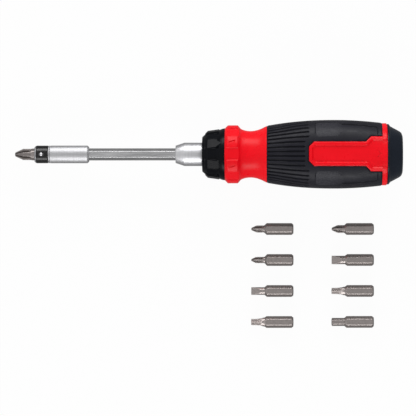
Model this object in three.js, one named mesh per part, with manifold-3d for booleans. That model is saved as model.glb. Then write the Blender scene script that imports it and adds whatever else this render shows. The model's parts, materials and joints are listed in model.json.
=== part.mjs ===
// A ratcheting multi-bit screwdriver and its eight spare bits, lying on a table.
// Millimetres, +Z up. The driver is drawn along X, from the tip of its bit (x = 0) to the end of its cap,
// and then laid down on its front ring and its belly. Angles round the driver run from +Z towards +Y.

import * as THREE from "three";
import { mergeVertices } from "three/addons/utils/BufferGeometryUtils.js";
import Module from "manifold-3d";

const wasm = await Module();
wasm.setup();

// Clearances
const RUN = 0.3; // between pieces that move past each other
const SEAT = 0.1; // between pieces that are fixed to each other
const SOCKET_PLAY = 0.12; // on each flat of a hexagon in its socket
const WELD = 1e-4;
const BEYOND = 2; // how far a cutter reaches past what it cuts

// Bits, on the quarter-inch hexagon
const HEX_FLATS = 6.35;
const BIT_LENGTH = 25.4;
const BIT_EXPOSED = 11.8;
const SHOULDER_LENGTH = 2;
const SHANK_CHAMFER = 1.1;
const SHANK_CHAMFER_RISE = 0.75;
const TIP_CHAMFER = 0.5;
const STAR_NECK_RISE = 1.6;
const MOUNTED_BIT = { tip: 6.7, fluteLength: 9.4, shoulderAt: 9.8 };
const CROSS_LARGE = { tip: 4.3, fluteLength: 7.4, shoulderAt: 7.8 };
const CROSS_SMALL = { tip: 3.8, fluteLength: 7.2, shoulderAt: 8 };
const CROSS_MEDIUM = { tip: 4.7, fluteLength: 7, shoulderAt: 7.6 };
const SLOTTED_NARROW = { width: 4.6, thickness: 0.8, groundLength: 6, shoulderAt: 8 };
const SLOTTED_WIDE = { width: 5.1, thickness: 1, groundLength: 6.4, shoulderAt: 8 };
const STAR_LARGE = { tip: 4.2, lobeLength: 2.6, neck: 5.5, shoulderAt: 8 };
const STAR_SMALL = { tip: 4.1, lobeLength: 2.4, neck: 5.2, shoulderAt: 8 };
const HEX_BIT = { flats: 4.4, shoulderAt: 7.6 };
const BIT_COLUMNS = [155.1, 203.8];
const BIT_ROW_FIRST = -44.9;
const BIT_ROW_PITCH = 18.75;

// Bit holder
const HOLDER_LENGTH = 32.7;
const HOLDER_RADIUS = 5.3;
const NOSE_LIP = 0.7;
const NOSE_RADIUS = 5.15;
const NOSE_CHAMFER = 0.4;
const HOLDER_CHAMFER = 0.7;
const HOLDER_BEVEL = 0.8;
const BAND_LENGTH = 7.4;
const BAND_THICKNESS = 0.55;
const HOLDER_GROOVE = 0.5;
const BALL_RADIUS = 1.25;
const BALL_FROM_NOSE = 4.2;
const MAGNET_RADIUS = 2.6;
const MAGNET_THICKNESS = 3;

// Shaft and ferrule
const SHAFT_SHOWN = 52.1;
const FERRULE_CONE = 5.3;
const FERRULE_STRAIGHT = 10.7;
const FERRULE_FRONT_RADIUS = 5.2;
const FERRULE_RADIUS = 7;
const FERRULE_SPIGOT = 5;
const JOURNAL_RADIUS = 3;

// Selector collar
const SELECTOR_LENGTH = 13.6;
const SELECTOR_WALL = 1.8;
const SELECTOR_FRONT_RADIUS = 10.4;
const SELECTOR_BODY_RADIUS = 13.2;
const SELECTOR_WAIST_RADIUS = 14;
const SELECTOR_REAR_RADIUS = 15.6;
const SELECTOR_CHAMFER = 3.1;
const SELECTOR_FLARE = 2.7;
const SELECTOR_BAND = 0.9;
const RIB_COUNT = 7;
const RIB_HEIGHT = 0.9;
const RIB_WIDTH = 5.4;
const RIB_DRAFT = 0.3;
const RIB_STOPS_BEFORE = 0.9;
const POINTER_LENGTH = 3;

// Ratchet
const GEAR_TEETH = 24;
const GEAR_TIP = 6.4;
const GEAR_ROOT = 5.6;
const GEAR_WIDTH = 5.4;
const PAWL_WIDTH = 3.8;
const PAWL_PIVOT_RADIUS = 8.45;
const PAWL_PIVOT_ANGLE = 62;
const PAWL_TAIL_RADIUS = 10.7;
const PAWL_TAIL_ANGLE = 86;
const PAWL_LIFT = 9;
const PAWL_NOSE_ANGLE = 35.5;
const PAWL_NECK_ANGLE = 44;
const PAWL_BACK_ANGLE = 80;
const PAWL_RELIEF = 0.75;
const PIN_RADIUS = 0.6;
const WASHER_THICKNESS = 0.8;
const COVER_THICKNESS = 2.4;
const PIN_SUNK = 0.5;
const PIN_IN_CARRIER = 1.6;
const SHAFT_STUB = 1;
const CARRIER_RADIUS = 10;
const SPIGOT_FLATS = 16;
const SPIGOT_LENGTH = 12;
const BUSH_WALL = 1.2;
const REAR_BUSH_LENGTH = 7.7;
const CLIP_THICKNESS = 0.8;
const CLIP_WIDTH = 1.8;
const CLIP_GROOVE = 0.5;
const SPRING_WIRE = 0.22;
const TORSION_RADIUS = 1.12;
const TORSION_TURNS = 2;
const TORSION_PITCH = 0.9;
const TORSION_LEG = 1.5;
const DETENT_RADIUS = 1.1;
const DETENT_AT = 12.8;
const DETENT_DIMPLE = 0.5;
const DETENT_TURNS = 4;
const DETENT_PITCH = 1.1;

// Handle
const RING_LENGTH = 9.2;
const RING_RADIUS = 17.4;
const RING_BEVEL_FRONT = 1.7;
const RING_BEVEL_REAR = 1.5;
const RING_EDGE_RADIUS = 15.6;
const RING_RECESS = 1.1;
const RECESS_WIDTH = 6.9;
const WAIST_LENGTH = 15.8;
const WAIST_RADIUS = 13.95;
const WAIST_AT_LEAST = 5.6;
const WAIST_RISE = 0.75;
const WAIST_RISE_BEFORE = 5;
const GRIP_LENGTH = 69;
const BELLY_RADIUS = 20.55;
const GRIP_FRONT_RADIUS = BELLY_RADIUS - 3.45;
const BELLY_FROM_FRONT = 40;
const GRIP_REAR_RADIUS = BELLY_RADIUS - 1.75;
const CORNER_BULGE = 0.09;
const CORNER_BULGE_REAR = 0.03;
const BULGE_FULL_AT = 28;
const BULGE_FADE = 17;
const RUBBER_THICKNESS = 2.2;
const GROOVE_COUNT = 44;
const GROOVE_FROM = 1.4;
const GROOVE_TO = 24.6;
const GROOVE_WIDTH = 0.95;
const GROOVE_DEPTH = 0.8;
const PANEL_FROM = 25.2;
const PANEL_HALF_WIDTH = 7.3;
const PANEL_CHAMFER = 3.1;
const PANEL_WIDE_HALF = 10.4;
const PANEL_WIDE_LENGTH = 6.7;
const PANEL_SINK = 0.15;
const PANEL_RECESS = 0.9;
const PANEL_BORDER = 2.6;
const PANEL_WALL = 0.8;
const PAD_FROM = 28.8;
const PAD_NARROW_FROM = 44.8;
const PAD_TO = GRIP_LENGTH - 2.6;
const PAD_HALF_WIDTH = 6.3;
const PAD_NARROW_HALF = 3.5;
const PAD_CHAMFER = 2.4;
const PAD_DEPTH = 0.7;
const REAR_RING_LENGTH = 3;
const REAR_RING_RADIUS = GRIP_REAR_RADIUS - 0.2;
const REAR_RING_BEVEL = 0.6;

// End cap, bit rack and storage bore
const CAP_LENGTH = 9.3;
const CAP_LIP_RADIUS = REAR_RING_RADIUS - 0.4;
const CAP_LIP = 1;
const CAP_STEP_RADIUS = CAP_LIP_RADIUS - 1.6;
const CAP_EDGE_RADIUS = CAP_LIP_RADIUS - 4.4;
const CAP_FACE_RADIUS = CAP_LIP_RADIUS - 7.2;
const CAP_ROUNDING = 1.8;
const STORE_RADIUS = 14.4;
const STORE_DEPTH = 32.2;
const CAP_SPIGOT_RADIUS = 13.9;
const CAP_SPIGOT_LENGTH = 5;
const O_RING_WIRE = 0.8;
const RACK_SLOTS = 8;
const RACK_RADIUS = 13.9;
const RACK_PITCH_RADIUS = 10.5;
const RACK_LENGTH = 16;
const SLOT_PLAY = 0.15;
const SCREW_RADIUS = 1.5;
const SCREW_HEAD_RADIUS = 2.8;
const SCREW_HEAD = 2;
const SCREW_BITE = 6;

// Stations along the driver, from the tip of the bit
const HOLDER_END = BIT_EXPOSED + HOLDER_LENGTH;
const FERRULE_AT = HOLDER_END + SHAFT_SHOWN;
const SELECTOR_AT = FERRULE_AT + FERRULE_CONE + FERRULE_STRAIGHT;
const RING_AT = SELECTOR_AT + SELECTOR_LENGTH;
const WAIST_AT = RING_AT + RING_LENGTH;
const GRIP_AT = WAIST_AT + WAIST_LENGTH;
const REAR_RING_AT = GRIP_AT + GRIP_LENGTH;
const CAP_AT = REAR_RING_AT + REAR_RING_LENGTH;
const COVER_AT = SELECTOR_AT + SELECTOR_WALL + RUN;
const CAVITY_AT = COVER_AT + COVER_THICKNESS;
const GEAR_AT = CAVITY_AT + RUN;
const GEAR_END = GEAR_AT + GEAR_WIDTH;
const WASHER_AT = GEAR_END + SEAT;
const CARRIER_WALL_AT = WASHER_AT + WASHER_THICKNESS + RUN;
const REAR_BUSH_AT = CARRIER_WALL_AT + RUN;
const CLIP_AT = REAR_BUSH_AT + REAR_BUSH_LENGTH + RUN;
const SHAFT_END = CLIP_AT + CLIP_THICKNESS + SHAFT_STUB;
const BALL_AT = BIT_EXPOSED + BALL_FROM_NOSE;
const MAGNET_AT = BIT_LENGTH + RUN;
const SHAFT_AT = MAGNET_AT + MAGNET_THICKNESS + RUN;
const CAP_SPIGOT_AT = CAP_AT - CAP_SPIGOT_LENGTH;
const RACK_AT = CAP_SPIGOT_AT - SEAT - RACK_LENGTH;

// Sizes that follow
const HEX_CORNER = HEX_FLATS / Math.sqrt(3);
const RIB_PITCH = 360 / RIB_COUNT;
const POINTER_ANGLE = RIB_PITCH / 2;
const CAM_RADIUS = PAWL_TAIL_RADIUS + RUN;
const PAWL_TAIL_ARM = PAWL_TAIL_RADIUS * Math.sin(radians(PAWL_TAIL_ANGLE - PAWL_PIVOT_ANGLE));
const CAM_RISE = PAWL_TAIL_ARM * Math.sin(radians(PAWL_LIFT));
const GEAR_CAVITY = GEAR_TIP + RUN + SEAT;
const FRONT_BUSH_RADIUS = FERRULE_SPIGOT + RUN + BUSH_WALL;
const REAR_BUSH_RADIUS = JOURNAL_RADIUS + RUN + BUSH_WALL + SEAT;
const ROUND_SIDES = 32;
const FINE_SIDES = 20;
const BIT_SIDES = 12;
const GRIP_STEPS = 9;

// Materials
const RED = material(0xe31526, 0.38, 0);
const RUBBER = material(0x2c2c2f, 0.8, 0);
const BLACK = material(0x232428, 0.5, 0);
const CHROME = material(0xd6d8da, 0.12, 1);
const STEEL = material(0xb9bbbe, 0.3, 1);
const BIT_STEEL = material(0x827a78, 0.45, 1);
const DARK_STEEL = material(0x4a4c50, 0.4, 1);
const BRONZE = material(0xa9814a, 0.4, 1);
const O_RING_RUBBER = material(0x161617, 0.7, 0);

function material(color, roughness, metalness) {
  return new THREE.MeshStandardMaterial({ color, roughness, metalness });
}

function radians(degrees) {
  return THREE.MathUtils.degToRad(degrees);
}

// A point of a cross-section, [y, z], at a radius and an angle from +Z towards +Y
function polar(radius, degrees) {
  return [radius * Math.sin(radians(degrees)), radius * Math.cos(radians(degrees))];
}

function hexagon(flats, turn = 0) {
  const corner = flats / Math.sqrt(3);
  return [0, 1, 2, 3, 4, 5].map((side) => polar(corner, 30 + 60 * side + turn));
}

// A closed geometry as a solid for cutting and joining, with its faces pointing out
function solidOf(geometry) {
  const bare = geometry.clone();
  for (const name of Object.keys(bare.attributes)) {
    if (name !== "position") bare.deleteAttribute(name);
  }
  const welded = mergeVertices(bare, WELD);
  const points = welded.attributes.position;
  const corners = welded.index.array;
  const faces = [];
  const [a, b, c] = [new THREE.Vector3(), new THREE.Vector3(), new THREE.Vector3()];
  let volume = 0;
  for (let i = 0; i < corners.length; i += 3) {
    const [p, q, r] = [corners[i], corners[i + 1], corners[i + 2]];
    if (p === q || q === r || r === p) continue;
    faces.push(p, q, r);
    a.fromBufferAttribute(points, p);
    b.fromBufferAttribute(points, q);
    c.fromBufferAttribute(points, r);
    volume += a.dot(b.cross(c));
  }
  if (volume < 0) faces.reverse();
  const vertProperties = new Float32Array(points.array);
  const triVerts = new Uint32Array(faces);
  return new wasm.Manifold(new wasm.Mesh({ numProp: 3, vertProperties, triVerts }));
}

// A named mesh made from a solid
function piece(name, solid, finish) {
  const mesh = solid.getMesh();
  const geometry = new THREE.BufferGeometry();
  geometry.setAttribute("position", new THREE.BufferAttribute(new Float32Array(mesh.vertProperties), 3));
  geometry.setIndex(new THREE.BufferAttribute(new Uint32Array(mesh.triVerts), 1));
  geometry.computeVertexNormals();
  const part = new THREE.Mesh(geometry, finish);
  part.name = name;
  return part;
}

// A profile of [x, radius] points turned round the X axis, from axis to axis or closed on itself
function revolve(profile, sides = FINE_SIDES) {
  const points = profile.map(([x, radius]) => new THREE.Vector2(radius, x));
  const first = points[0];
  const last = points[points.length - 1];
  if (first.x > 0 || last.x > 0) points.push(first.clone());
  const geometry = new THREE.LatheGeometry(points, sides);
  geometry.rotateZ(-Math.PI / 2);
  return solidOf(geometry);
}

function disc(radius, from, to, sides = FINE_SIDES) {
  return revolve([[from, 0], [from, radius], [to, radius], [to, 0]], sides);
}

function tube(inner, outer, from, to, sides = FINE_SIDES) {
  return revolve([[from, inner], [from, outer], [to, outer], [to, inner]], sides);
}

// A cross-section of [y, z] points drawn along X
function prism(section, from, to) {
  const shape = new THREE.Shape(section.map(([y, z]) => new THREE.Vector2(y, z)));
  const geometry = new THREE.ExtrudeGeometry(shape, { depth: to - from, bevelEnabled: false });
  const alongX = new THREE.Matrix4().makeBasis(
    new THREE.Vector3(0, 1, 0), new THREE.Vector3(0, 0, 1), new THREE.Vector3(1, 0, 0));
  geometry.applyMatrix4(alongX);
  geometry.translate(from, 0, 0);
  return solidOf(geometry);
}

// A skin over rings of points, closed by a flat face at each end; flatten gives a ring's own plane
function loft(rings, flatten = (p) => new THREE.Vector2(p.y, p.z)) {
  const count = rings[0].length;
  const positions = rings.flat().flatMap((p) => [p.x, p.y, p.z]);
  const index = [];
  for (let k = 0; k + 1 < rings.length; k += 1) {
    for (let i = 0; i < count; i += 1) {
      const [a, b] = [k * count + i, k * count + ((i + 1) % count)];
      index.push(a, b, a + count, b, b + count, a + count);
    }
  }
  const cap = THREE.ShapeUtils.triangulateShape(rings[0].map(flatten), []);
  const end = (rings.length - 1) * count;
  const turns = THREE.ShapeUtils.isClockWise(rings[0].map(flatten)) ? 1 : -1;
  for (const [a, b, c] of cap) {
    if (turns > 0) {
      index.push(a, b, c, end + c, end + b, end + a);
    } else {
      index.push(c, b, a, end + a, end + b, end + c);
    }
  }
  const geometry = new THREE.BufferGeometry();
  geometry.setAttribute("position", new THREE.Float32BufferAttribute(positions, 3));
  geometry.setIndex(index);
  return solidOf(orientCaps(geometry, index, cap.length));
}

// Turns the end faces over where they don't run the same way as the skin between them
function orientCaps(geometry, index, capCount) {
  const skin = index.length - capCount * 6;
  const edges = new Set();
  for (let i = 0; i < skin; i += 3) {
    for (const [p, q] of [[0, 1], [1, 2], [2, 0]]) edges.add(`${index[i + p]},${index[i + q]}`);
  }
  const clashes = [];
  for (let i = skin; i < index.length; i += 3) {
    for (const [p, q] of [[0, 1], [1, 2], [2, 0]]) {
      if (edges.has(`${index[i + p]},${index[i + q]}`)) clashes.push(i);
    }
  }
  if (clashes.length > 0) {
    for (let i = skin; i < index.length; i += 3) [index[i], index[i + 1]] = [index[i + 1], index[i]];
    geometry.setIndex(index);
  }
  return geometry;
}

function sectionRing(x, section) {
  return section.map(([y, z]) => new THREE.Vector3(x, y, z));
}

function turned(solid, degrees) {
  return solid.rotate([-degrees, 0, 0]);
}

function joined(solids) {
  return solids.reduce((whole, next) => whole.add(next));
}

function around(count, make) {
  return Array.from({ length: count }, (_, i) => make((360 / count) * i, i));
}

// A round wire along points, with section rings square to its path
function wire(points, radius, reference) {
  const rings = points.map((point, i) => {
    const before = points[Math.max(i - 1, 0)];
    const after = points[Math.min(i + 1, points.length - 1)];
    const along = after.clone().sub(before).normalize();
    const across = new THREE.Vector3().crossVectors(along, reference).normalize();
    const third = new THREE.Vector3().crossVectors(along, across);
    return around(5, (degrees) => point.clone()
      .addScaledVector(across, radius * Math.cos(radians(degrees)))
      .addScaledVector(third, radius * Math.sin(radians(degrees))));
  });
  const start = rings[0];
  const origin = points[0];
  const u = start[0].clone().sub(origin).normalize();
  const along = points[1].clone().sub(points[0]).normalize();
  const v = new THREE.Vector3().crossVectors(along, u);
  return loft(rings, (p) => {
    const offset = p.clone().sub(origin);
    return new THREE.Vector2(offset.dot(u), offset.dot(v));
  });
}

// Least distance between turns of a wire, less its thickness
function wireGap(points, radius, skip) {
  let least = Infinity;
  points.forEach((p, i) => points.forEach((q, j) => {
    if (j - i >= skip) least = Math.min(least, p.distanceTo(q));
  }));
  return least - 2 * radius;
}

// Hexagonal shank with a conical shoulder in front and a chamfer behind
function shank(neckRadius, shoulderAt) {
  const envelope = HEX_CORNER + SEAT;
  const body = prism(hexagon(HEX_FLATS), shoulderAt, BIT_LENGTH);
  return body.intersect(revolve([
    [shoulderAt, 0], [shoulderAt, neckRadius], [shoulderAt + SHOULDER_LENGTH, envelope],
    [BIT_LENGTH - SHANK_CHAMFER, envelope], [BIT_LENGTH, envelope - SHANK_CHAMFER_RISE], [BIT_LENGTH, 0],
  ], BIT_SIDES));
}

// Cross tip: a blunt cone with four V-shaped flutes that run out along the neck
function crossBit({ tip, fluteLength, shoulderAt }) {
  const radius = tip / 2;
  const coneLength = radius * 1.35;
  const body = revolve([
    [0, 0], [0, radius * 0.28], [coneLength, radius * 0.94], [shoulderAt / 2, radius],
    [shoulderAt + SEAT, radius], [shoulderAt + SEAT, 0],
  ], BIT_SIDES);
  const flute = (x, depth) => sectionRing(x, [[0, depth], [-tip, depth + tip], [tip, depth + tip]]);
  const cutter = loft([flute(-BEYOND, radius * 0.06), flute(fluteLength, radius)]);
  const tipSolid = around(4, (degrees) => turned(cutter, degrees + 45))
    .reduce((whole, next) => whole.subtract(next), body);
  return tipSolid.add(shank(radius, shoulderAt));
}

// Slotted tip: a round neck ground to a flat blade
function slottedBit({ width, thickness, groundLength, shoulderAt }) {
  const radius = width / 2;
  const body = revolve([
    [0, 0], [0, radius], [shoulderAt + SEAT, radius], [shoulderAt + SEAT, 0],
  ], BIT_SIDES);
  const high = width * 2;
  const wedge = (x, low) => sectionRing(x, [[-width, low], [width, low], [width, high], [-width, high]]);
  const cutter = loft([wedge(-SEAT, thickness / 2), wedge(groundLength, radius + SEAT)]);
  const blade = body.subtract(cutter).subtract(turned(cutter, 180));
  return blade.add(shank(radius, shoulderAt));
}

// Star tip: six rounded lobes on a tapered neck
function starBit({ tip, lobeLength, neck, shoulderAt }) {
  const mean = tip * 0.43;
  const lobes = around(24, (degrees) => polar(mean + tip * 0.07 * Math.cos(radians(6 * degrees)), degrees));
  const star = prism(lobes, 0, lobeLength + STAR_NECK_RISE / 2);
  const neckSolid = revolve([
    [lobeLength, 0], [lobeLength, tip * 0.36], [lobeLength + STAR_NECK_RISE, neck / 2],
    [shoulderAt + SEAT, neck / 2], [shoulderAt + SEAT, 0],
  ], BIT_SIDES);
  return star.add(neckSolid).add(shank(neck / 2, shoulderAt));
}

// Hexagon tip
function hexBit({ flats, shoulderAt }) {
  const corner = flats / Math.sqrt(3);
  const tip = prism(hexagon(flats), 0, shoulderAt + SHOULDER_LENGTH);
  const pointed = tip.intersect(revolve([
    [0, 0], [0, corner - TIP_CHAMFER], [TIP_CHAMFER, corner + SEAT],
    [shoulderAt + SHOULDER_LENGTH, corner + SEAT], [shoulderAt + SHOULDER_LENGTH, 0],
  ], BIT_SIDES));
  return pointed.add(shank(corner * 0.95, shoulderAt));
}

// Bit holder: a turned sleeve with a socket in front, a pocket for the magnet and a bore for the shaft
function bitHolder() {
  const bandAt = BIT_EXPOSED + NOSE_LIP;
  const bandEnd = bandAt + BAND_LENGTH;
  const neck = HOLDER_RADIUS - BAND_THICKNESS - SEAT;
  const grooveAt = bandEnd + HOLDER_BEVEL;
  const body = revolve([
    [BIT_EXPOSED, 0], [BIT_EXPOSED, neck],
    [BIT_EXPOSED + NOSE_CHAMFER, NOSE_RADIUS], [bandAt - SEAT, NOSE_RADIUS],
    [bandAt - SEAT, neck], [bandEnd, neck],
    [bandEnd, HOLDER_RADIUS - HOLDER_BEVEL / 2], [grooveAt, HOLDER_RADIUS],
    [grooveAt + HOLDER_GROOVE / 2, HOLDER_RADIUS - HOLDER_GROOVE / 2],
    [grooveAt + HOLDER_GROOVE, HOLDER_RADIUS],
    [HOLDER_END - HOLDER_CHAMFER, HOLDER_RADIUS], [HOLDER_END, HOLDER_RADIUS - HOLDER_CHAMFER],
    [HOLDER_END, 0],
  ]);
  const socketFlats = HEX_FLATS + 2 * SOCKET_PLAY;
  const socket = prism(hexagon(socketFlats), BIT_EXPOSED - BEYOND, MAGNET_AT);
  const pocket = disc(MAGNET_RADIUS + SEAT, MAGNET_AT - SEAT, SHAFT_AT);
  const bore = prism(hexagon(socketFlats), SHAFT_AT - SEAT, HOLDER_END + BEYOND);
  const ballHole = radialDisc(BALL_RADIUS + SEAT, BALL_AT, 0, HOLDER_RADIUS + BEYOND, BIT_SIDES);
  return body.subtract(joined([socket, pocket, bore])).subtract(ballHole);
}

// A round bar that points up (+Z) from a height to another, at a station of the driver
function radialDisc(radius, x, from, to, sides) {
  const geometry = new THREE.CylinderGeometry(radius, radius, to - from, sides);
  geometry.rotateX(Math.PI / 2);
  geometry.translate(x, 0, (from + to) / 2);
  return solidOf(geometry);
}

function ball(radius, x, y, z) {
  const geometry = new THREE.SphereGeometry(radius, 12, 7);
  geometry.rotateX(Math.PI / 2);
  geometry.translate(x, y, z);
  return solidOf(geometry);
}

function holderBand() {
  const at = BIT_EXPOSED + NOSE_LIP;
  const inner = HOLDER_RADIUS - BAND_THICKNESS;
  const end = at + BAND_LENGTH - SEAT;
  const band = revolve([
    [at, inner], [at, NOSE_RADIUS], [at + NOSE_CHAMFER, HOLDER_RADIUS], [end, HOLDER_RADIUS], [end, inner],
  ]);
  const hole = radialDisc(BALL_RADIUS + RUN, BALL_AT, 0, HOLDER_RADIUS + BEYOND, BIT_SIDES);
  return band.subtract(hole);
}

function driveShaft() {
  const groove = JOURNAL_RADIUS - CLIP_GROOVE;
  const bar = prism(hexagon(HEX_FLATS), SHAFT_AT, GEAR_END);
  const journal = revolve([
    [GEAR_END - SEAT, 0], [GEAR_END - SEAT, JOURNAL_RADIUS],
    [CLIP_AT - SEAT, JOURNAL_RADIUS], [CLIP_AT - SEAT, groove],
    [CLIP_AT + CLIP_THICKNESS + SEAT, groove], [CLIP_AT + CLIP_THICKNESS + SEAT, JOURNAL_RADIUS],
    [SHAFT_END, JOURNAL_RADIUS], [SHAFT_END, 0],
  ]);
  return bar.add(journal);
}

function ferrule() {
  const straightAt = FERRULE_AT + FERRULE_CONE;
  const body = revolve([
    [FERRULE_AT, 0], [FERRULE_AT, FERRULE_FRONT_RADIUS],
    [straightAt, FERRULE_RADIUS], [COVER_AT - RUN, FERRULE_RADIUS],
    [COVER_AT - RUN, FERRULE_SPIGOT], [CAVITY_AT, FERRULE_SPIGOT], [CAVITY_AT, 0],
  ]);
  return body.subtract(prism(hexagon(HEX_FLATS + 2 * SOCKET_PLAY), FERRULE_AT - BEYOND, CAVITY_AT + BEYOND));
}

function ratchetGear() {
  const pitch = 360 / GEAR_TEETH;
  const outline = around(GEAR_TEETH, (degrees) => [
    polar(GEAR_ROOT, degrees),
    polar(GEAR_TIP, degrees + pitch * 0.35),
    polar(GEAR_TIP, degrees + pitch * 0.65),
  ]).flat();
  const bore = prism(hexagon(HEX_FLATS + 2 * SOCKET_PLAY), GEAR_AT - BEYOND, GEAR_END + BEYOND);
  return prism(outline, GEAR_AT, GEAR_END).subtract(bore);
}

// Open ring that snaps into the groove of the shaft
function retainingRing() {
  const inner = JOURNAL_RADIUS - CLIP_GROOVE + SEAT;
  const ring = tube(inner, inner + CLIP_WIDTH, CLIP_AT, CLIP_AT + CLIP_THICKNESS);
  const mouth = inner * 0.75;
  const low = -2 * inner - CLIP_WIDTH;
  const slot = prism([[-mouth, 0], [mouth, 0], [mouth, low], [-mouth, low]],
    CLIP_AT - BEYOND, CLIP_AT + CLIP_THICKNESS + BEYOND);
  return ring.subtract(slot);
}

function thrustWasher() {
  return tube(JOURNAL_RADIUS + RUN, GEAR_ROOT, WASHER_AT, WASHER_AT + WASHER_THICKNESS);
}

function rearBush() {
  return tube(JOURNAL_RADIUS + RUN, REAR_BUSH_RADIUS - SEAT, REAR_BUSH_AT, REAR_BUSH_AT + REAR_BUSH_LENGTH);
}

// Ratchet carrier: a cup round the gear with a window for each pawl and a hexagonal spigot in the handle
function ratchetCarrier() {
  const cupAt = CAVITY_AT + SEAT;
  const cup = disc(CARRIER_RADIUS, cupAt, RING_AT - SEAT, ROUND_SIDES)
    .add(prism(hexagon(SPIGOT_FLATS), RING_AT - 2 * SEAT, RING_AT + SPIGOT_LENGTH));
  const window = prism([
    polar(GEAR_CAVITY * 0.8, 30), polar(CARRIER_RADIUS * 1.3, 30), polar(CARRIER_RADIUS * 1.6, 62),
    polar(CARRIER_RADIUS * 1.3, 95), polar(GEAR_CAVITY * 0.8, 95),
  ], cupAt - BEYOND, CARRIER_WALL_AT);
  const mirrored = window.mirror([0, 1, 0]);
  const cavity = disc(GEAR_CAVITY, cupAt - BEYOND, CARRIER_WALL_AT);
  const bore = disc(REAR_BUSH_RADIUS, CARRIER_WALL_AT - SEAT, RING_AT + SPIGOT_LENGTH + BEYOND);
  const holes = [1, -1].map((side) => pawlPin(side, PIN_RADIUS + SEAT, cupAt, pinEnd() + SEAT));
  return cup.subtract(joined([window, mirrored, cavity, bore, ...holes]));
}

function pinEnd() {
  return CARRIER_WALL_AT + PIN_IN_CARRIER;
}

function pawlPin(side, radius, from, to) {
  const [y, z] = polar(PAWL_PIVOT_RADIUS, side * PAWL_PIVOT_ANGLE);
  return disc(radius, from, to, BIT_SIDES).translate([0, y, z]);
}

function carrierCover() {
  const plate = tube(FRONT_BUSH_RADIUS + SEAT, CAM_RADIUS - RUN, COVER_AT, CAVITY_AT, ROUND_SIDES);
  const holeAt = COVER_AT + PIN_SUNK - SEAT;
  const holes = [1, -1].map((side) => pawlPin(side, PIN_RADIUS + SEAT, holeAt, CAVITY_AT + BEYOND));
  return plate.subtract(joined(holes));
}

// Pawl: a lever on its pin, with a nose at the gear and a tail at the selector's cam
function pawl(side, lift) {
  const outline = [
    [GEAR_TIP + RUN, PAWL_NOSE_ANGLE], [GEAR_TIP + RUN, PAWL_NOSE_ANGLE + 2.5],
    [GEAR_TIP + PAWL_RELIEF, PAWL_NECK_ANGLE], [GEAR_TIP + PAWL_RELIEF, PAWL_PIVOT_ANGLE + 8],
    [GEAR_TIP + 2 * PAWL_RELIEF, PAWL_BACK_ANGLE], [GEAR_TIP + 2 * PAWL_RELIEF, PAWL_TAIL_ANGLE + 4],
    [PAWL_TAIL_RADIUS - RUN, PAWL_TAIL_ANGLE + 4],
    [PAWL_TAIL_RADIUS, PAWL_TAIL_ANGLE + 1], [PAWL_TAIL_RADIUS, PAWL_TAIL_ANGLE - 1],
    [CARRIER_RADIUS - RUN, PAWL_BACK_ANGLE], [CARRIER_RADIUS - RUN, PAWL_NECK_ANGLE],
    [PAWL_PIVOT_RADIUS - RUN, PAWL_NOSE_ANGLE],
  ].map(([radius, degrees]) => polar(radius, side * degrees));
  const body = prism(outline, GEAR_AT, GEAR_AT + PAWL_WIDTH)
    .subtract(pawlPin(side, PIN_RADIUS + SEAT, GEAR_AT - BEYOND, GEAR_AT + PAWL_WIDTH + BEYOND));
  return aboutPin(body, side, side * lift);
}

// Turns a solid about a pawl's pin
function aboutPin(solid, side, degrees) {
  const [y, z] = polar(PAWL_PIVOT_RADIUS, side * PAWL_PIVOT_ANGLE);
  return turned(solid.translate([0, -y, -z]), degrees).translate([0, y, z]);
}

// Torsion spring round a pawl's pin, with a straight leg at each end
function torsionPath() {
  const steps = TORSION_TURNS * 8;
  const path = [];
  for (let k = 0; k <= steps; k += 1) {
    const [y, z] = polar(TORSION_RADIUS, (360 / 8) * k);
    path.push(new THREE.Vector3((TORSION_PITCH * k) / 8, y, z));
  }
  const leg = new THREE.Vector3(0, TORSION_LEG, 0);
  return [path[0].clone().sub(leg), ...path, path[steps].clone().add(leg)];
}

function torsionSpring(side) {
  const at = GEAR_AT + PAWL_WIDTH + RUN + SPRING_WIRE;
  const coil = wire(torsionPath(), SPRING_WIRE, new THREE.Vector3(1, 0, 0));
  const [y, z] = polar(PAWL_PIVOT_RADIUS, side * PAWL_PIVOT_ANGLE);
  return turned(coil, side * PAWL_PIVOT_ANGLE).translate([at, y, z]);
}

function detentPath() {
  const path = [];
  for (let k = 0; k <= DETENT_TURNS * 8; k += 1) {
    const [y, z] = polar(DETENT_RADIUS - SPRING_WIRE - SEAT, (360 / 8) * k);
    path.push(new THREE.Vector3((DETENT_PITCH * k) / 8, y, z));
  }
  return path;
}

function detentSpring() {
  const at = RING_AT + 2 * DETENT_RADIUS + SEAT + SPRING_WIRE;
  const coil = wire(detentPath(), SPRING_WIRE, new THREE.Vector3(1, 0, 0));
  return coil.translate([at, 0, -DETENT_AT]);
}

function detentHole() {
  const depth = 2 * DETENT_RADIUS + DETENT_TURNS * DETENT_PITCH + 4 * SPRING_WIRE;
  return disc(DETENT_RADIUS + SEAT, RING_AT - BEYOND, RING_AT + depth, 14).translate([0, 0, -DETENT_AT]);
}

// Inner outline of the selector: round, with a ramp that presses each pawl's tail in turn
function camOutline() {
  const rampFrom = [PAWL_TAIL_ANGLE, -PAWL_TAIL_ANGLE + RIB_PITCH];
  return around(48, (degrees) => {
    const angle = degrees > 180 ? degrees - 360 : degrees;
    const forward = (angle - rampFrom[0]) / RIB_PITCH;
    const reverse = (rampFrom[1] - angle) / RIB_PITCH;
    const share = Math.max(rampShare(forward), rampShare(reverse));
    return polar(CAM_RADIUS - CAM_RISE * share, degrees);
  });
}

function rampShare(along) {
  const overrun = 1.15;
  if (along < 0 || along > overrun) return 0;
  return Math.min(along, 1);
}

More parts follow.
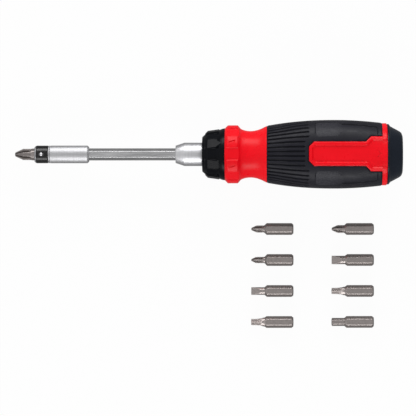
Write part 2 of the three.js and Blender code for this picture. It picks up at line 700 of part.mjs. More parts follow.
// Selector collar: a flared ring with raised ribs, one of them a pointer
function selectorCollar() {
  const end = RING_AT - RUN;
  const bandAt = end - SELECTOR_BAND;
  const flareAt = bandAt - SELECTOR_FLARE;
  const chamferEnd = SELECTOR_AT + SELECTOR_CHAMFER;
  const body = revolve([
    [SELECTOR_AT, 0], [SELECTOR_AT, SELECTOR_FRONT_RADIUS], [chamferEnd, SELECTOR_BODY_RADIUS],
    [flareAt + RIB_STOPS_BEFORE, SELECTOR_WAIST_RADIUS], [bandAt, SELECTOR_REAR_RADIUS - SEAT],
    [end, SELECTOR_REAR_RADIUS], [end, 0],
  ], RIB_COUNT * 4);
  const ribs = around(RIB_COUNT, (degrees, i) => {
    const rib = selectorRib(chamferEnd, flareAt, i === 0);
    return turned(rib, degrees + POINTER_ANGLE);
  });
  const bore = disc(FERRULE_RADIUS + RUN, SELECTOR_AT - BEYOND, COVER_AT);
  const coverSpace = disc(CAM_RADIUS, SELECTOR_AT + SELECTOR_WALL, GEAR_AT, ROUND_SIDES);
  const cam = prism(camOutline(), GEAR_AT - SEAT, end + BEYOND);
  const stops = [0, 1, 2].map((k) => turned(
    ball(DETENT_RADIUS, end + DETENT_RADIUS - DETENT_DIMPLE, 0, -DETENT_AT), (k * RIB_PITCH) / 2));
  return joined([body, ...ribs]).subtract(joined([bore, coverSpace, cam])).subtract(joined(stops));
}

// One raised rib at the top of the collar; the pointer's rear end narrows to a point
function selectorRib(chamferEnd, flareAt, pointer) {
  const frontTop = SELECTOR_BODY_RADIUS + RIB_HEIGHT / 2;
  const rearTop = SELECTOR_WAIST_RADIUS + RIB_HEIGHT;
  const ring = (x, top, width) => {
    const half = width / 2;
    const low = CAM_RADIUS + SEAT;
    return sectionRing(x, [
      [-half - 2 * RIB_DRAFT, low], [half + 2 * RIB_DRAFT, low], [half + RIB_DRAFT, top - RIB_HEIGHT],
      [half, top], [-half, top], [-half - RIB_DRAFT, top - RIB_HEIGHT],
    ]);
  };
  const front = SELECTOR_AT + SELECTOR_CHAMFER / 2;
  const lowTop = frontTop - SELECTOR_CHAMFER / 2;
  const rings = [ring(front, lowTop, RIB_WIDTH), ring(chamferEnd, frontTop, RIB_WIDTH)];
  if (pointer) {
    const shoulder = flareAt - RIB_STOPS_BEFORE;
    rings.push(ring(shoulder, rearTop, RIB_WIDTH));
    rings.push(ring(shoulder + POINTER_LENGTH, rearTop + SEAT, RIB_DRAFT));
  } else {
    rings.push(ring(flareAt + RIB_STOPS_BEFORE, rearTop, RIB_WIDTH));
  }
  return loft(rings);
}

// Half-width of the grip across its flat sides, at a distance behind its front edge
function gripHalfWidth(d) {
  if (d <= BELLY_FROM_FRONT) {
    const rest = 1 - Math.max(d, 0) / BELLY_FROM_FRONT;
    return BELLY_RADIUS - (BELLY_RADIUS - GRIP_FRONT_RADIUS) * rest ** 2.2;
  }
  const share = (d - BELLY_FROM_FRONT) / (GRIP_LENGTH - BELLY_FROM_FRONT);
  return BELLY_RADIUS - (BELLY_RADIUS - GRIP_REAR_RADIUS) * share ** 2;
}

// How far the four rounded corners of the grip stand out, as a share of its half-width
function gripBulge(d) {
  const rise = CORNER_BULGE * THREE.MathUtils.smoothstep(d, 0, BULGE_FULL_AT);
  const fade = THREE.MathUtils.smoothstep(d, GRIP_LENGTH - BULGE_FADE, GRIP_LENGTH);
  return rise + (CORNER_BULGE_REAR - CORNER_BULGE) * fade;
}

function gripRadius(d, degrees) {
  return gripHalfWidth(d) * (1 + (gripBulge(d) / 2) * (1 - Math.cos(radians(4 * degrees))));
}

const GRIP_STATIONS = around(GRIP_STEPS + 1, (_, i) => (GRIP_LENGTH * i) / GRIP_STEPS);

// The grip's outer form, drawn in by an inset
function gripForm(inset, trim = 0) {
  const rings = GRIP_STATIONS.map((d, i) => {
    const last = i === GRIP_STATIONS.length - 1;
    const x = GRIP_AT + d + (i === 0 ? trim : 0) - (last ? trim : 0);
    return sectionRing(x, around(GROOVE_COUNT, (degrees) => polar(gripRadius(d, degrees) - inset, degrees)));
  });
  return loft(rings);
}

// Points of the tube that lies under the rubber, grown by a clearance
function underRubber(grow) {
  return GRIP_STATIONS.map((d) => [GRIP_AT + d, gripHalfWidth(d) - RUBBER_THICKNESS + grow]);
}

// Plan outline, [x, y], of the raised panel, drawn in by a border
function panelOutline(border, rear) {
  const front = GRIP_AT + PANEL_FROM + border;
  const half = PANEL_HALF_WIDTH - border;
  const wide = PANEL_WIDE_HALF - border;
  const wideAt = REAR_RING_AT - PANEL_WIDE_LENGTH + border / 2;
  const step = wide - half;
  const chamfer = Math.min(PANEL_CHAMFER, half * 0.45);
  const side = [
    [front, half - chamfer], [front + chamfer, half], [wideAt - step, half], [wideAt, wide], [rear, wide],
  ];
  return [...side, ...side.map(([x, y]) => [x, -y]).reverse()];
}

// A plan outline drawn upwards from one height to another, where it may be wider
function upright(low, lowZ, high, highZ) {
  const ring = (outline, z) => outline.map(([x, y]) => new THREE.Vector3(x, y, z));
  return loft([ring(low, lowZ), ring(high, highZ)], (p) => new THREE.Vector2(p.x, p.y));
}

function topAndBottom(solid) {
  return solid.add(turned(solid, 180));
}

// Red core: front ring, waist, the tube under the rubber, two raised panels and the rear ring
function handleCore() {
  const middle = BELLY_RADIUS / 2;
  const above = BELLY_RADIUS + BEYOND;
  const waist = new THREE.SplineCurve([
    new THREE.Vector2(WAIST_AT, RING_EDGE_RADIUS),
    new THREE.Vector2(WAIST_AT + WAIST_AT_LEAST * 0.4, WAIST_RADIUS + WAIST_RISE * 0.75),
    new THREE.Vector2(WAIST_AT + WAIST_AT_LEAST, WAIST_RADIUS),
    new THREE.Vector2(GRIP_AT - WAIST_RISE_BEFORE, WAIST_RADIUS + WAIST_RISE),
    new THREE.Vector2(GRIP_AT, GRIP_FRONT_RADIUS),
  ]).getPoints(9).map((p) => [p.x, p.y]);
  const body = revolve([
    [RING_AT, 0], [RING_AT, RING_EDGE_RADIUS], [RING_AT + RING_BEVEL_FRONT, RING_RADIUS],
    [WAIST_AT - RING_BEVEL_REAR, RING_RADIUS], ...waist, ...underRubber(0),
    [REAR_RING_AT, REAR_RING_RADIUS], [CAP_AT - REAR_RING_BEVEL, REAR_RING_RADIUS],
    [CAP_AT, REAR_RING_RADIUS - REAR_RING_BEVEL], [CAP_AT, 0],
  ], ROUND_SIDES);
  const outline = panelOutline(0, REAR_RING_AT + SEAT);
  const panel = upright(outline, middle, outline, above).intersect(gripForm(PANEL_SINK));
  const floor = panelOutline(PANEL_BORDER, CAP_AT + BEYOND);
  const brim = panelOutline(PANEL_BORDER - PANEL_WALL, CAP_AT + BEYOND);
  const ringSunk = GRIP_REAR_RADIUS - PANEL_RECESS;
  const ringFloor = disc(ringSunk, REAR_RING_AT - SEAT, CAP_AT + 2 * BEYOND, ROUND_SIDES);
  const recess = upright(floor, GRIP_REAR_RADIUS - 2 * PANEL_RECESS, brim, BELLY_RADIUS)
    .subtract(gripForm(PANEL_RECESS)).subtract(ringFloor);
  const lands = around(RIB_COUNT, (degrees) => turned(ringRecess(), degrees));
  const spigotEnd = RING_AT + SPIGOT_LENGTH + RUN;
  const spigotBore = prism(hexagon(SPIGOT_FLATS + 2 * SEAT), RING_AT - BEYOND, spigotEnd);
  const store = disc(STORE_RADIUS, CAP_AT - STORE_DEPTH, CAP_AT + BEYOND, ROUND_SIDES);
  return body.add(topAndBottom(panel)).subtract(topAndBottom(recess))
    .subtract(joined([...lands, spigotBore, store, detentHole()]));
}

// Recess of the front ring at the top: a flat with sloping sides
function ringRecess() {
  const floor = RING_RADIUS - RING_RECESS;
  const top = RING_RADIUS + BEYOND;
  const half = RECESS_WIDTH / 2;
  const section = [[-half, floor], [half, floor], [half + BEYOND, top], [-half - BEYOND, top]];
  return prism(section, RING_AT, WAIST_AT);
}

// One groove of the grip, straight along its surface at an angle round the axis
function groove(degrees) {
  const ring = (d) => {
    const floor = gripRadius(d, degrees) - GROOVE_DEPTH;
    const low = GROOVE_WIDTH * 0.35;
    const high = GROOVE_WIDTH * 0.7;
    const top = floor + BEYOND;
    return sectionRing(GRIP_AT + d, [[-low, floor], [low, floor], [high, top], [-high, top]]);
  };
  const panelSide = Math.abs(((degrees + 90) % 180) - 90) < 24;
  const to = panelSide ? GROOVE_TO - PANEL_CHAMFER / 1.4 : GROOVE_TO;
  return turned(loft([ring(GROOVE_FROM), ring(to)]), degrees);
}

// Corner pad: a shallow sunk outline on a rounded corner, wide in front and narrow behind
function cornerPad() {
  const [from, narrow, to] = [PAD_FROM, PAD_NARROW_FROM, PAD_TO].map((d) => GRIP_AT + d);
  const step = PAD_HALF_WIDTH - PAD_NARROW_HALF;
  const side = [
    [from, PAD_HALF_WIDTH - PAD_CHAMFER], [from + PAD_CHAMFER, PAD_HALF_WIDTH],
    [narrow - step, PAD_HALF_WIDTH], [narrow, PAD_NARROW_HALF], [to, PAD_NARROW_HALF],
  ];
  const outline = [...side, ...side.map(([x, y]) => [x, -y]).reverse()];
  return upright(outline, BELLY_RADIUS / 2, outline, BELLY_RADIUS * 1.2);
}

function rubberGrip() {
  const middle = BELLY_RADIUS / 2;
  const windowOutline = panelOutline(-RUN, REAR_RING_AT + BEYOND);
  const window = upright(windowOutline, middle, windowOutline, BELLY_RADIUS + BEYOND);
  const inner = underRubber(SEAT);
  const [first, last] = [inner[0], inner[inner.length - 1]];
  const [front, rear] = [first[0] - BEYOND, last[0] + BEYOND];
  const space = revolve([[front, 0], [front, first[1]], ...inner, [rear, last[1]], [rear, 0]], ROUND_SIDES);
  const grooves = around(GROOVE_COUNT, (degrees) => groove(degrees + 180 / GROOVE_COUNT));
  const corners = around(4, (degrees) => turned(cornerPad(), degrees + 45));
  const pads = joined(corners).subtract(gripForm(PAD_DEPTH));
  return gripForm(0, SEAT).subtract(space).subtract(topAndBottom(window))
    .subtract(joined(grooves)).subtract(pads);
}

function endCap() {
  const end = CAP_AT + CAP_LENGTH;
  const stepAt = CAP_AT + CAP_LIP;
  const grooveAt = CAP_AT - CAP_SPIGOT_LENGTH / 2;
  const grooveHalf = O_RING_WIRE + SEAT;
  const grooveFloor = STORE_RADIUS - RUN - 2 * O_RING_WIRE - SEAT;
  const body = revolve([
    [CAP_SPIGOT_AT, 0], [CAP_SPIGOT_AT, CAP_SPIGOT_RADIUS],
    [grooveAt - grooveHalf, CAP_SPIGOT_RADIUS], [grooveAt - grooveHalf, grooveFloor],
    [grooveAt + grooveHalf, grooveFloor], [grooveAt + grooveHalf, CAP_SPIGOT_RADIUS],
    [CAP_AT + SEAT, CAP_SPIGOT_RADIUS], [CAP_AT + SEAT, CAP_LIP_RADIUS], [stepAt, CAP_LIP_RADIUS - 2 * SEAT],
    [stepAt + CAP_LIP, CAP_STEP_RADIUS], [end - CAP_ROUNDING, CAP_EDGE_RADIUS],
    [end - CAP_ROUNDING * 0.35, (CAP_EDGE_RADIUS * 2 + CAP_FACE_RADIUS) / 3],
    [end, CAP_FACE_RADIUS], [end, 0],
  ], ROUND_SIDES);
  const screwEnd = CAP_SPIGOT_AT + SCREW_BITE + SEAT;
  return body.subtract(disc(SCREW_RADIUS + SEAT, CAP_SPIGOT_AT - BEYOND, screwEnd));
}

function capORing() {
  const middle = STORE_RADIUS - RUN - O_RING_WIRE;
  const at = CAP_AT - CAP_SPIGOT_LENGTH / 2;
  const profile = around(6, (degrees) => [
    at + O_RING_WIRE * Math.cos(radians(degrees)), middle + O_RING_WIRE * Math.sin(radians(degrees)),
  ]);
  return revolve(profile, ROUND_SIDES);
}

// Bit rack: a hub with a hexagonal slot for each spare bit, open at its rim
function bitRack() {
  const slotFlats = HEX_FLATS + 2 * SLOT_PLAY;
  const corner = slotFlats / Math.sqrt(3);
  const reach = RACK_RADIUS + BEYOND;
  const slot = [
    [-corner / 2, RACK_PITCH_RADIUS - slotFlats / 2], [corner / 2, RACK_PITCH_RADIUS - slotFlats / 2],
    [corner, RACK_PITCH_RADIUS], [corner * 0.8, RACK_PITCH_RADIUS + slotFlats / 4], [corner * 0.8, reach],
    [-corner * 0.8, reach], [-corner * 0.8, RACK_PITCH_RADIUS + slotFlats / 4], [-corner, RACK_PITCH_RADIUS],
  ];
  const to = RACK_AT + RACK_LENGTH;
  const slots = around(RACK_SLOTS, (degrees) => turned(prism(slot, RACK_AT - BEYOND, to + BEYOND), degrees));
  const hole = disc(SCREW_RADIUS + SEAT, RACK_AT - BEYOND, to + BEYOND);
  return disc(RACK_RADIUS, RACK_AT, to, ROUND_SIDES).subtract(joined([...slots, hole]));
}

function rackScrew() {
  const headAt = RACK_AT - SEAT - SCREW_HEAD;
  const body = revolve([
    [headAt, 0], [headAt, SCREW_HEAD_RADIUS - RUN], [headAt + RUN, SCREW_HEAD_RADIUS],
    [headAt + SCREW_HEAD, SCREW_HEAD_RADIUS], [headAt + SCREW_HEAD, SCREW_RADIUS],
    [CAP_SPIGOT_AT + SCREW_BITE, SCREW_RADIUS], [CAP_SPIGOT_AT + SCREW_BITE, 0],
  ]);
  return body.subtract(prism(hexagon(SCREW_RADIUS * 1.6), headAt - BEYOND, headAt + SCREW_HEAD * 0.6));
}

// The driver, in its own straight frame
const ballHeight = HEX_FLATS / 2 + SOCKET_PLAY + SEAT + BALL_RADIUS;
const driver = new THREE.Group();
driver.add(
  piece("mounted_bit", crossBit(MOUNTED_BIT), BIT_STEEL),
  piece("bit_holder", bitHolder(), CHROME),
  piece("holder_band", holderBand(), BLACK),
  piece("bit_lock_ball", ball(BALL_RADIUS, BALL_AT, 0, ballHeight), CHROME),
  piece("holder_magnet", disc(MAGNET_RADIUS, MAGNET_AT, MAGNET_AT + MAGNET_THICKNESS), DARK_STEEL),
  piece("drive_shaft", driveShaft(), STEEL),
  piece("ferrule", ferrule(), CHROME),
  piece("ratchet_gear", ratchetGear(), DARK_STEEL),
  piece("thrust_washer", thrustWasher(), STEEL),
  piece("retaining_ring", retainingRing(), DARK_STEEL),
  piece("selector_collar", selectorCollar(), BLACK),
  piece("ratchet_carrier", ratchetCarrier(), DARK_STEEL),
  piece("carrier_cover", carrierCover(), DARK_STEEL),
  piece("front_bush", tube(FERRULE_SPIGOT + RUN, FRONT_BUSH_RADIUS, COVER_AT, CAVITY_AT - SEAT), BRONZE),
  piece("rear_bush", rearBush(), BRONZE),
  piece("forward_pawl", pawl(1, 0), STEEL),
  piece("reverse_pawl", pawl(-1, PAWL_LIFT), STEEL),
  piece("forward_pawl_pin", pawlPin(1, PIN_RADIUS, COVER_AT + PIN_SUNK, pinEnd()), STEEL),
  piece("reverse_pawl_pin", pawlPin(-1, PIN_RADIUS, COVER_AT + PIN_SUNK, pinEnd()), STEEL),
  piece("forward_pawl_spring", torsionSpring(1), STEEL),
  piece("reverse_pawl_spring", torsionSpring(-1), STEEL),
  piece("selector_detent_ball", ball(DETENT_RADIUS, RING_AT + DETENT_RADIUS - SEAT, 0, -DETENT_AT), STEEL),
  piece("selector_detent_spring", detentSpring(), STEEL),
  piece("handle_core", handleCore(), RED),
  piece("rubber_grip", rubberGrip(), RUBBER),
  piece("end_cap", endCap(), BLACK),
  piece("cap_o_ring", capORing(), O_RING_RUBBER),
  piece("bit_rack", bitRack(), BLACK),
  piece("rack_screw", rackScrew(), STEEL),
);
console.log("least gap in the torsion springs", wireGap(torsionPath(), SPRING_WIRE, 5).toFixed(2));
console.log("least gap in the detent spring", wireGap(detentPath(), SPRING_WIRE, 5).toFixed(2));

// The driver leans forward until its front ring and its belly both touch the table
const ringFoot = new THREE.Vector2(WAIST_AT - RING_BEVEL_REAR, RING_RADIUS);
const lean = Math.max(...GRIP_STATIONS.map((d) => {
  const reach = gripHalfWidth(d) - PANEL_SINK;
  return Math.atan2(reach - ringFoot.y, GRIP_AT + d - ringFoot.x);
}));
driver.rotation.y = -lean;
driver.updateMatrixWorld(true);
driver.position.z = -new THREE.Box3().setFromObject(driver, true).min.z;

// The spare bits lie on the table in two columns, each on a flat of its hexagon
const spareBits = [
  ["bit_cross_large", crossBit(CROSS_LARGE), 0, 0],
  ["bit_cross_small", crossBit(CROSS_SMALL), 0, 1],
  ["bit_slotted_narrow", slottedBit(SLOTTED_NARROW), 0, 2],
  ["bit_star_large", starBit(STAR_LARGE), 0, 3],
  ["bit_cross_medium", crossBit(CROSS_MEDIUM), 1, 0],
  ["bit_slotted_wide", slottedBit(SLOTTED_WIDE), 1, 1],
  ["bit_star_small", starBit(STAR_SMALL), 1, 2],
  ["bit_hex", hexBit(HEX_BIT), 1, 3],
];
const spares = new THREE.Group();
for (const [name, solid, column, row] of spareBits) {
  const bit = piece(name, solid, BIT_STEEL);
  bit.position.set(BIT_COLUMNS[column] - BIT_LENGTH / 2, BIT_ROW_FIRST - BIT_ROW_PITCH * row, HEX_FLATS / 2);
  spares.add(bit);
}

// Origin at the middle of the footprint, on the table
const layout = new THREE.Group();
layout.add(driver, spares);
layout.updateMatrixWorld(true);
const footprint = new THREE.Box3().setFromObject(layout, true);
const middle = footprint.getCenter(new THREE.Vector3());
layout.position.set(-middle.x, -middle.y, -footprint.min.z);

const screwdriver = new THREE.Group();
screwdriver.name = "multi_bit_screwdriver";
screwdriver.add(layout);

export default screwdriver;
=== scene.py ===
"""Looks of a ratcheting multi-bit screwdriver and its spare bits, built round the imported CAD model.

The driver's pieces are drawn in millimetres in its own straight frame, x from the tip of the bit to the cap,
and then laid on the driver's axis. Angles round the driver run from its top (+Z) towards +Y, in degrees.
Most pieces are rings of points whose radius is a function of the station x and the angle.
"""

import json
import math

import bpy
import numpy as np
from mathutils import Matrix, Vector


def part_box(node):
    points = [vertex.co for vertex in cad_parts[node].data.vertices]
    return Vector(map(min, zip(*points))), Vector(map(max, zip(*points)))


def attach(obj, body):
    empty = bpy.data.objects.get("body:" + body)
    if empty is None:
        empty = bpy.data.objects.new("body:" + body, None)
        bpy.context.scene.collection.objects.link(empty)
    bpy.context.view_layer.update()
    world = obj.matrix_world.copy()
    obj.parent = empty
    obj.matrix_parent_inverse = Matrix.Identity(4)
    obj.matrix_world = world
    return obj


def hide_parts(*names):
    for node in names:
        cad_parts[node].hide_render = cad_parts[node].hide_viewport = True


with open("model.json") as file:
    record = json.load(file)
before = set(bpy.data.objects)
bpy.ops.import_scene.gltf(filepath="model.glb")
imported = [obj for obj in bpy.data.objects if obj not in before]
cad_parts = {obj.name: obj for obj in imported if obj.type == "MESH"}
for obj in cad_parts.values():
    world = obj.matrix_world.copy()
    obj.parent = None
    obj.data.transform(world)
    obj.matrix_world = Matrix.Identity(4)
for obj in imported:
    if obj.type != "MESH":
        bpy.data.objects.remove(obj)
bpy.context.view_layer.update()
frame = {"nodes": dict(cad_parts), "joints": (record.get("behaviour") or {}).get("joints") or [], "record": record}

# The driver's frame
MM = 0.001
SHAFT_JOINT = next(j for j in frame["joints"] if j["name"] == "shaft_turn")
AXIS = Vector(SHAFT_JOINT["axis"]).normalized()
SIDE = Vector((0, 1, 0))
TOP = AXIS.cross(SIDE)
PIVOT = Vector(SHAFT_JOINT["pos_m"])


def points_of(node):
    return np.array([v.co for v in frame["nodes"][node].data.vertices])


TIP = PIVOT + AXIS * float(((points_of("mounted_bit") - np.array(PIVOT)) @ np.array(AXIS)).min())

# From the driver's frame, in millimetres, to the world's, in metres
TO_WORLD = Matrix((
    (AXIS.x * MM, SIDE.x * MM, TOP.x * MM, TIP.x),
    (AXIS.y * MM, SIDE.y * MM, TOP.y * MM, TIP.y),
    (AXIS.z * MM, SIDE.z * MM, TOP.z * MM, TIP.z),
    (0, 0, 0, 1),
))


# Where a node starts and ends along the driver, in millimetres
def span(node):
    along = (points_of(node) - np.array(TIP)) @ np.array(AXIS) / MM
    return along.min(), along.max()


# Stations, from the frame
HOLDER_AT, HOLDER_END = span("bit_holder")
BAND_AT, BAND_END = span("holder_band")
BALL_AT = sum(span("bit_lock_ball")) / 2
SHAFT_AT, SHAFT_END = span("drive_shaft")
GEAR_END = span("ratchet_gear")[1]
CLIP_AT, CLIP_END = span("retaining_ring")
FERRULE_AT, FERRULE_END = span("ferrule")
SELECTOR_AT = span("selector_collar")[0]
RING_AT, CAP_AT = span("handle_core")
GRIP_AT, GRIP_END = span("rubber_grip")
SPIGOT_AT, CAP_END = span("end_cap")

# Driving dimensions in millimetres: bits, bit holder and shaft
FIT = 0.1
HEX_FLATS = 6.35
HEX_ROUNDING = 3.62
BIT_ROUNDING = 3.55
BIT_LENGTH = 25.4
SOCKET_FLATS = 6.6
SOCKET_ROUNDING = HEX_ROUNDING + 0.2
HOLDER_RADIUS = 5.3
NOSE_RADIUS = 5.15
NOSE_MORE = 0.35
BAND_INNER = 4.75
BALL_HOLE = 1.5
MAGNET_PLAY = 0.3
MAGNET_BORE = 2.7
JOURNAL_RADIUS = 3.0

# Ferrule and selector collar
FERRULE_CONE = 5.3
FERRULE_FRONT = 5.2
FERRULE_RADIUS = 7.0
FERRULE_SPIGOT = 5.0
FERRULE_SPIGOT_LENGTH = 2.7
GAP_BEFORE_RING = 0.06
SELECTOR_TO = RING_AT - GAP_BEFORE_RING
SELECTOR_FRONT = 10.4
SELECTOR_BODY = 13.2
SELECTOR_WAIST = 14.0
SELECTOR_REAR = 15.6
SELECTOR_CHAMFER = 3.1
SELECTOR_CAVITY = 11.05
SELECTOR_BORE = 7.3
SELECTOR_WALL = 2.1
RIB_COUNT = 7
RIB_PITCH = 360 / RIB_COUNT
RIB_HEIGHT = 0.9
RIB_HALF = 2.6
RIB_FROM = 1.7
RIB_BEFORE_END = 3.3
POINT_BEFORE_END = 1.8
POINT_RISE = 0.6
POINT_FALL = 0.8

# Red core
RING_RADIUS = 17.4
RING_EDGE = 15.6
RING_LENGTH = 9.2
RING_BEVELS = (1.7, 1.5)
RECESS_DEPTH = 1.1
RECESS_HALF = 3.45
WAIST_AT = RING_AT + RING_LENGTH
WAIST_RADIUS = 13.95
REAR_RING_RADIUS = 18.6
STORE_RADIUS = 14.4
STORE_DEPTH = 32.2
SPIGOT_BORE = 9.4
SPIGOT_DEPTH = 12.4
CORE_HOLE = SPIGOT_BORE * 0.2

# Rubber grip, measured from its front edge
GRIP_LENGTH = GRIP_END - GRIP_AT
GRIP_FRONT = 17.1
BELLY_RADIUS = 20.55
BELLY_AT = 40.0
BELLY_POWER = 2.2
GRIP_REAR = 18.8
CORNER_BULGE = 0.09
CORNER_BULGE_REAR = 0.03
BULGE_FULL_AT = 28.0
BULGE_FADE = 17.0
RUBBER_THICKNESS = 2.2
GROOVE_COUNT = 44
GROOVE_PITCH = 360 / GROOVE_COUNT
GROOVE_FROM = 0.9
GROOVE_TO = 24.6
GROOVE_SHORTER = 2.2
GROOVE_HALF = 0.44
GROOVE_DEPTH = 0.95
BESIDE_PANEL = 24

# Red panels and rubber pads, from the same edge
PANEL_FROM = 25.2
PANEL_HALF = 7.3
PANEL_CHAMFER = 3.1
PANEL_WIDE_HALF = 10.4
PANEL_WIDE_LENGTH = 6.7
PANEL_WIDE_FROM = GRIP_LENGTH - PANEL_WIDE_LENGTH
PANEL_SINK = 0.15
PANEL_BORDER = 2.6
PANEL_RECESS = 0.9
PANEL_WALL = 0.84
WINDOW_PLAY = 0.25
PAD_FROM = 28.8
PAD_NARROW_FROM = 44.8
PAD_BEFORE_END = 2.6
PAD_HALF = 6.3
PAD_NARROW_HALF = 3.5
PAD_CHAMFER = 1.8
PAD_DEPTH = 0.75

# End cap
CAP_RADIUS = 18.2
CAP_FACE_RADIUS = 11.0
SPIGOT_RADIUS = 13.9
SEAL_RADIUS = 12.4
SCREW_BORE = 1.6
SCREW_DEPTH = 6.1
CAP_HOLE = 0.4

# Fineness: sides of the rings, and steps between stations in millimetres
GRIP_SIDES = GROOVE_COUNT * 16
RING_SIDES = RIB_COUNT * 80
ROUND_SIDES = 160
HOLDER_SIDES = ROUND_SIDES - 4
BIT_SIDES = 144
HOLE_SIDES = 48
PANEL_COLUMNS = 40
GRIP_STEP = 0.3
GRIP_INNER_STEP = 6
RING_STEP = 0.15
WAIST_STEP = 0.5
TUBE_STEP = 4
PANEL_STEP = 0.2
SELECTOR_STEP = 0.12
SHAFT_STEP = 4
BIT_TIP_STEP = 0.14
BIT_EDGE_STEP = 0.12
BIT_SHANK_STEP = 1.5
SMOOTH_ANGLE = math.radians(42)


def smooth(value, low, high):
    share = np.clip((value - low) / (high - low), 0, 1)
    return share * share * (3 - 2 * share)


# The lesser of two radii, with a rounded crease of a given width
def soft_min(a, b, width):
    share = np.clip(0.5 + (b - a) / (2 * width), 0, 1)
    return b + (a - b) * share - width * share * (1 - share)


# The angles of the points of a ring, in degrees
def round_degrees(sides):
    return np.arange(sides) * 360 / sides


# The angle from the nearest of several equal spokes, in degrees
def from_spoke(degrees, pitch, first=0):
    return (degrees - first + pitch / 2) % pitch - pitch / 2


# Signed distance to a closed outline of (x, y) corners, negative inside
def outline_distance(outline, x, y):
    x, y = np.broadcast_arrays(np.asarray(x, float), np.asarray(y, float))
    nearest = np.full(x.shape, np.inf)
    inside = np.zeros(x.shape, bool)
    for (ax, ay), (bx, by) in zip(outline, outline[1:] + outline[:1]):
        ex, ey = bx - ax, by - ay
        share = np.clip(((x - ax) * ex + (y - ay) * ey) / (ex * ex + ey * ey), 0, 1)
        nearest = np.minimum(nearest, np.hypot(x - ax - share * ex, y - ay - share * ey))
        crosses = (ay > y) != (by > y)
        if ey != 0:
            inside ^= crosses & (x < ax + ex * (y - ay) / ey)
    return np.where(inside, -nearest, nearest)


# A smooth curve through (x, value) points
def curve_through(points, x):
    px, py = np.array(points, float).T
    slopes = np.gradient(py, px)
    k = np.clip(np.searchsorted(px, x, side="right") - 1, 0, len(px) - 2)
    width = px[k + 1] - px[k]
    t = np.clip((x - px[k]) / width, 0, 1)
    return ((2 * t ** 3 - 3 * t ** 2 + 1) * py[k] + (t ** 3 - 2 * t ** 2 + t) * width * slopes[k]
            + (3 * t ** 2 - 2 * t ** 3) * py[k + 1] + (t ** 3 - t ** 2) * width * slopes[k + 1])


# Stations between two ends, both included, no further apart than a step
def stations(start, end, step):
    return np.linspace(start, end, max(2, int(math.ceil((end - start) / step)) + 1))


# An edge is at least so many times as long as the round at its end
EDGE_PER_ROUND = 2.2


# A profile of (x, radius) corners with each corner cut to a small round of three points
def rounded(profile, size):
    result = [profile[0]]
    for before, corner, after in zip(profile, profile[1:], profile[2:]):
        back = Vector(before) - Vector(corner)
        ahead = Vector(after) - Vector(corner)
        cut = min(size, back.length / EDGE_PER_ROUND, ahead.length / EDGE_PER_ROUND)
        start = Vector(corner) + back.normalized() * cut
        end = Vector(corner) + ahead.normalized() * cut
        bow = (start + end) / 4 + Vector(corner) / 2
        result += [tuple(start), tuple(bow), tuple(end)]
    return result + [profile[-1]]


# Radius on a profile at a station, the same all round
def turned(profile, x, degrees):
    places, radii = np.array(profile).T
    return np.full(degrees.shape, np.interp(x, places, radii))


# Materials: how their noise is stretched along, across and over the driver, and how it is spread
EVEN = (1.0, 1.0, 1.0)
DRAWN = (0.04, 1.0, 1.0)
TURNED = (1.0, 0.05, 0.05)
LEAN = math.atan2(AXIS.z, AXIS.x)
NOISE_LOW = 0.3
NOISE_HIGH = 0.7
NOISE_DETAIL = 3.0
RELIEF_DETAIL = 2.0
TONE_CELLS = 90
PAD_CELLS = 1500
ROUGHNESS_CELLS = 400
METAL_STRENGTH = 0.15
LINES_PER_TONE = 3
LINES_PER_ROUGHNESS = 2

# Shares stored on the points of a mesh, which a finish reads
# Painted sheen on the rubber pads, and the cap's own bluish tone
SHEEN_AND_TONE_MARK = "sheen_and_tone_mark"
# Painted shade in the flutes of cross bits
FLUTE_SHADE_MARK = "painted_flute_shade"


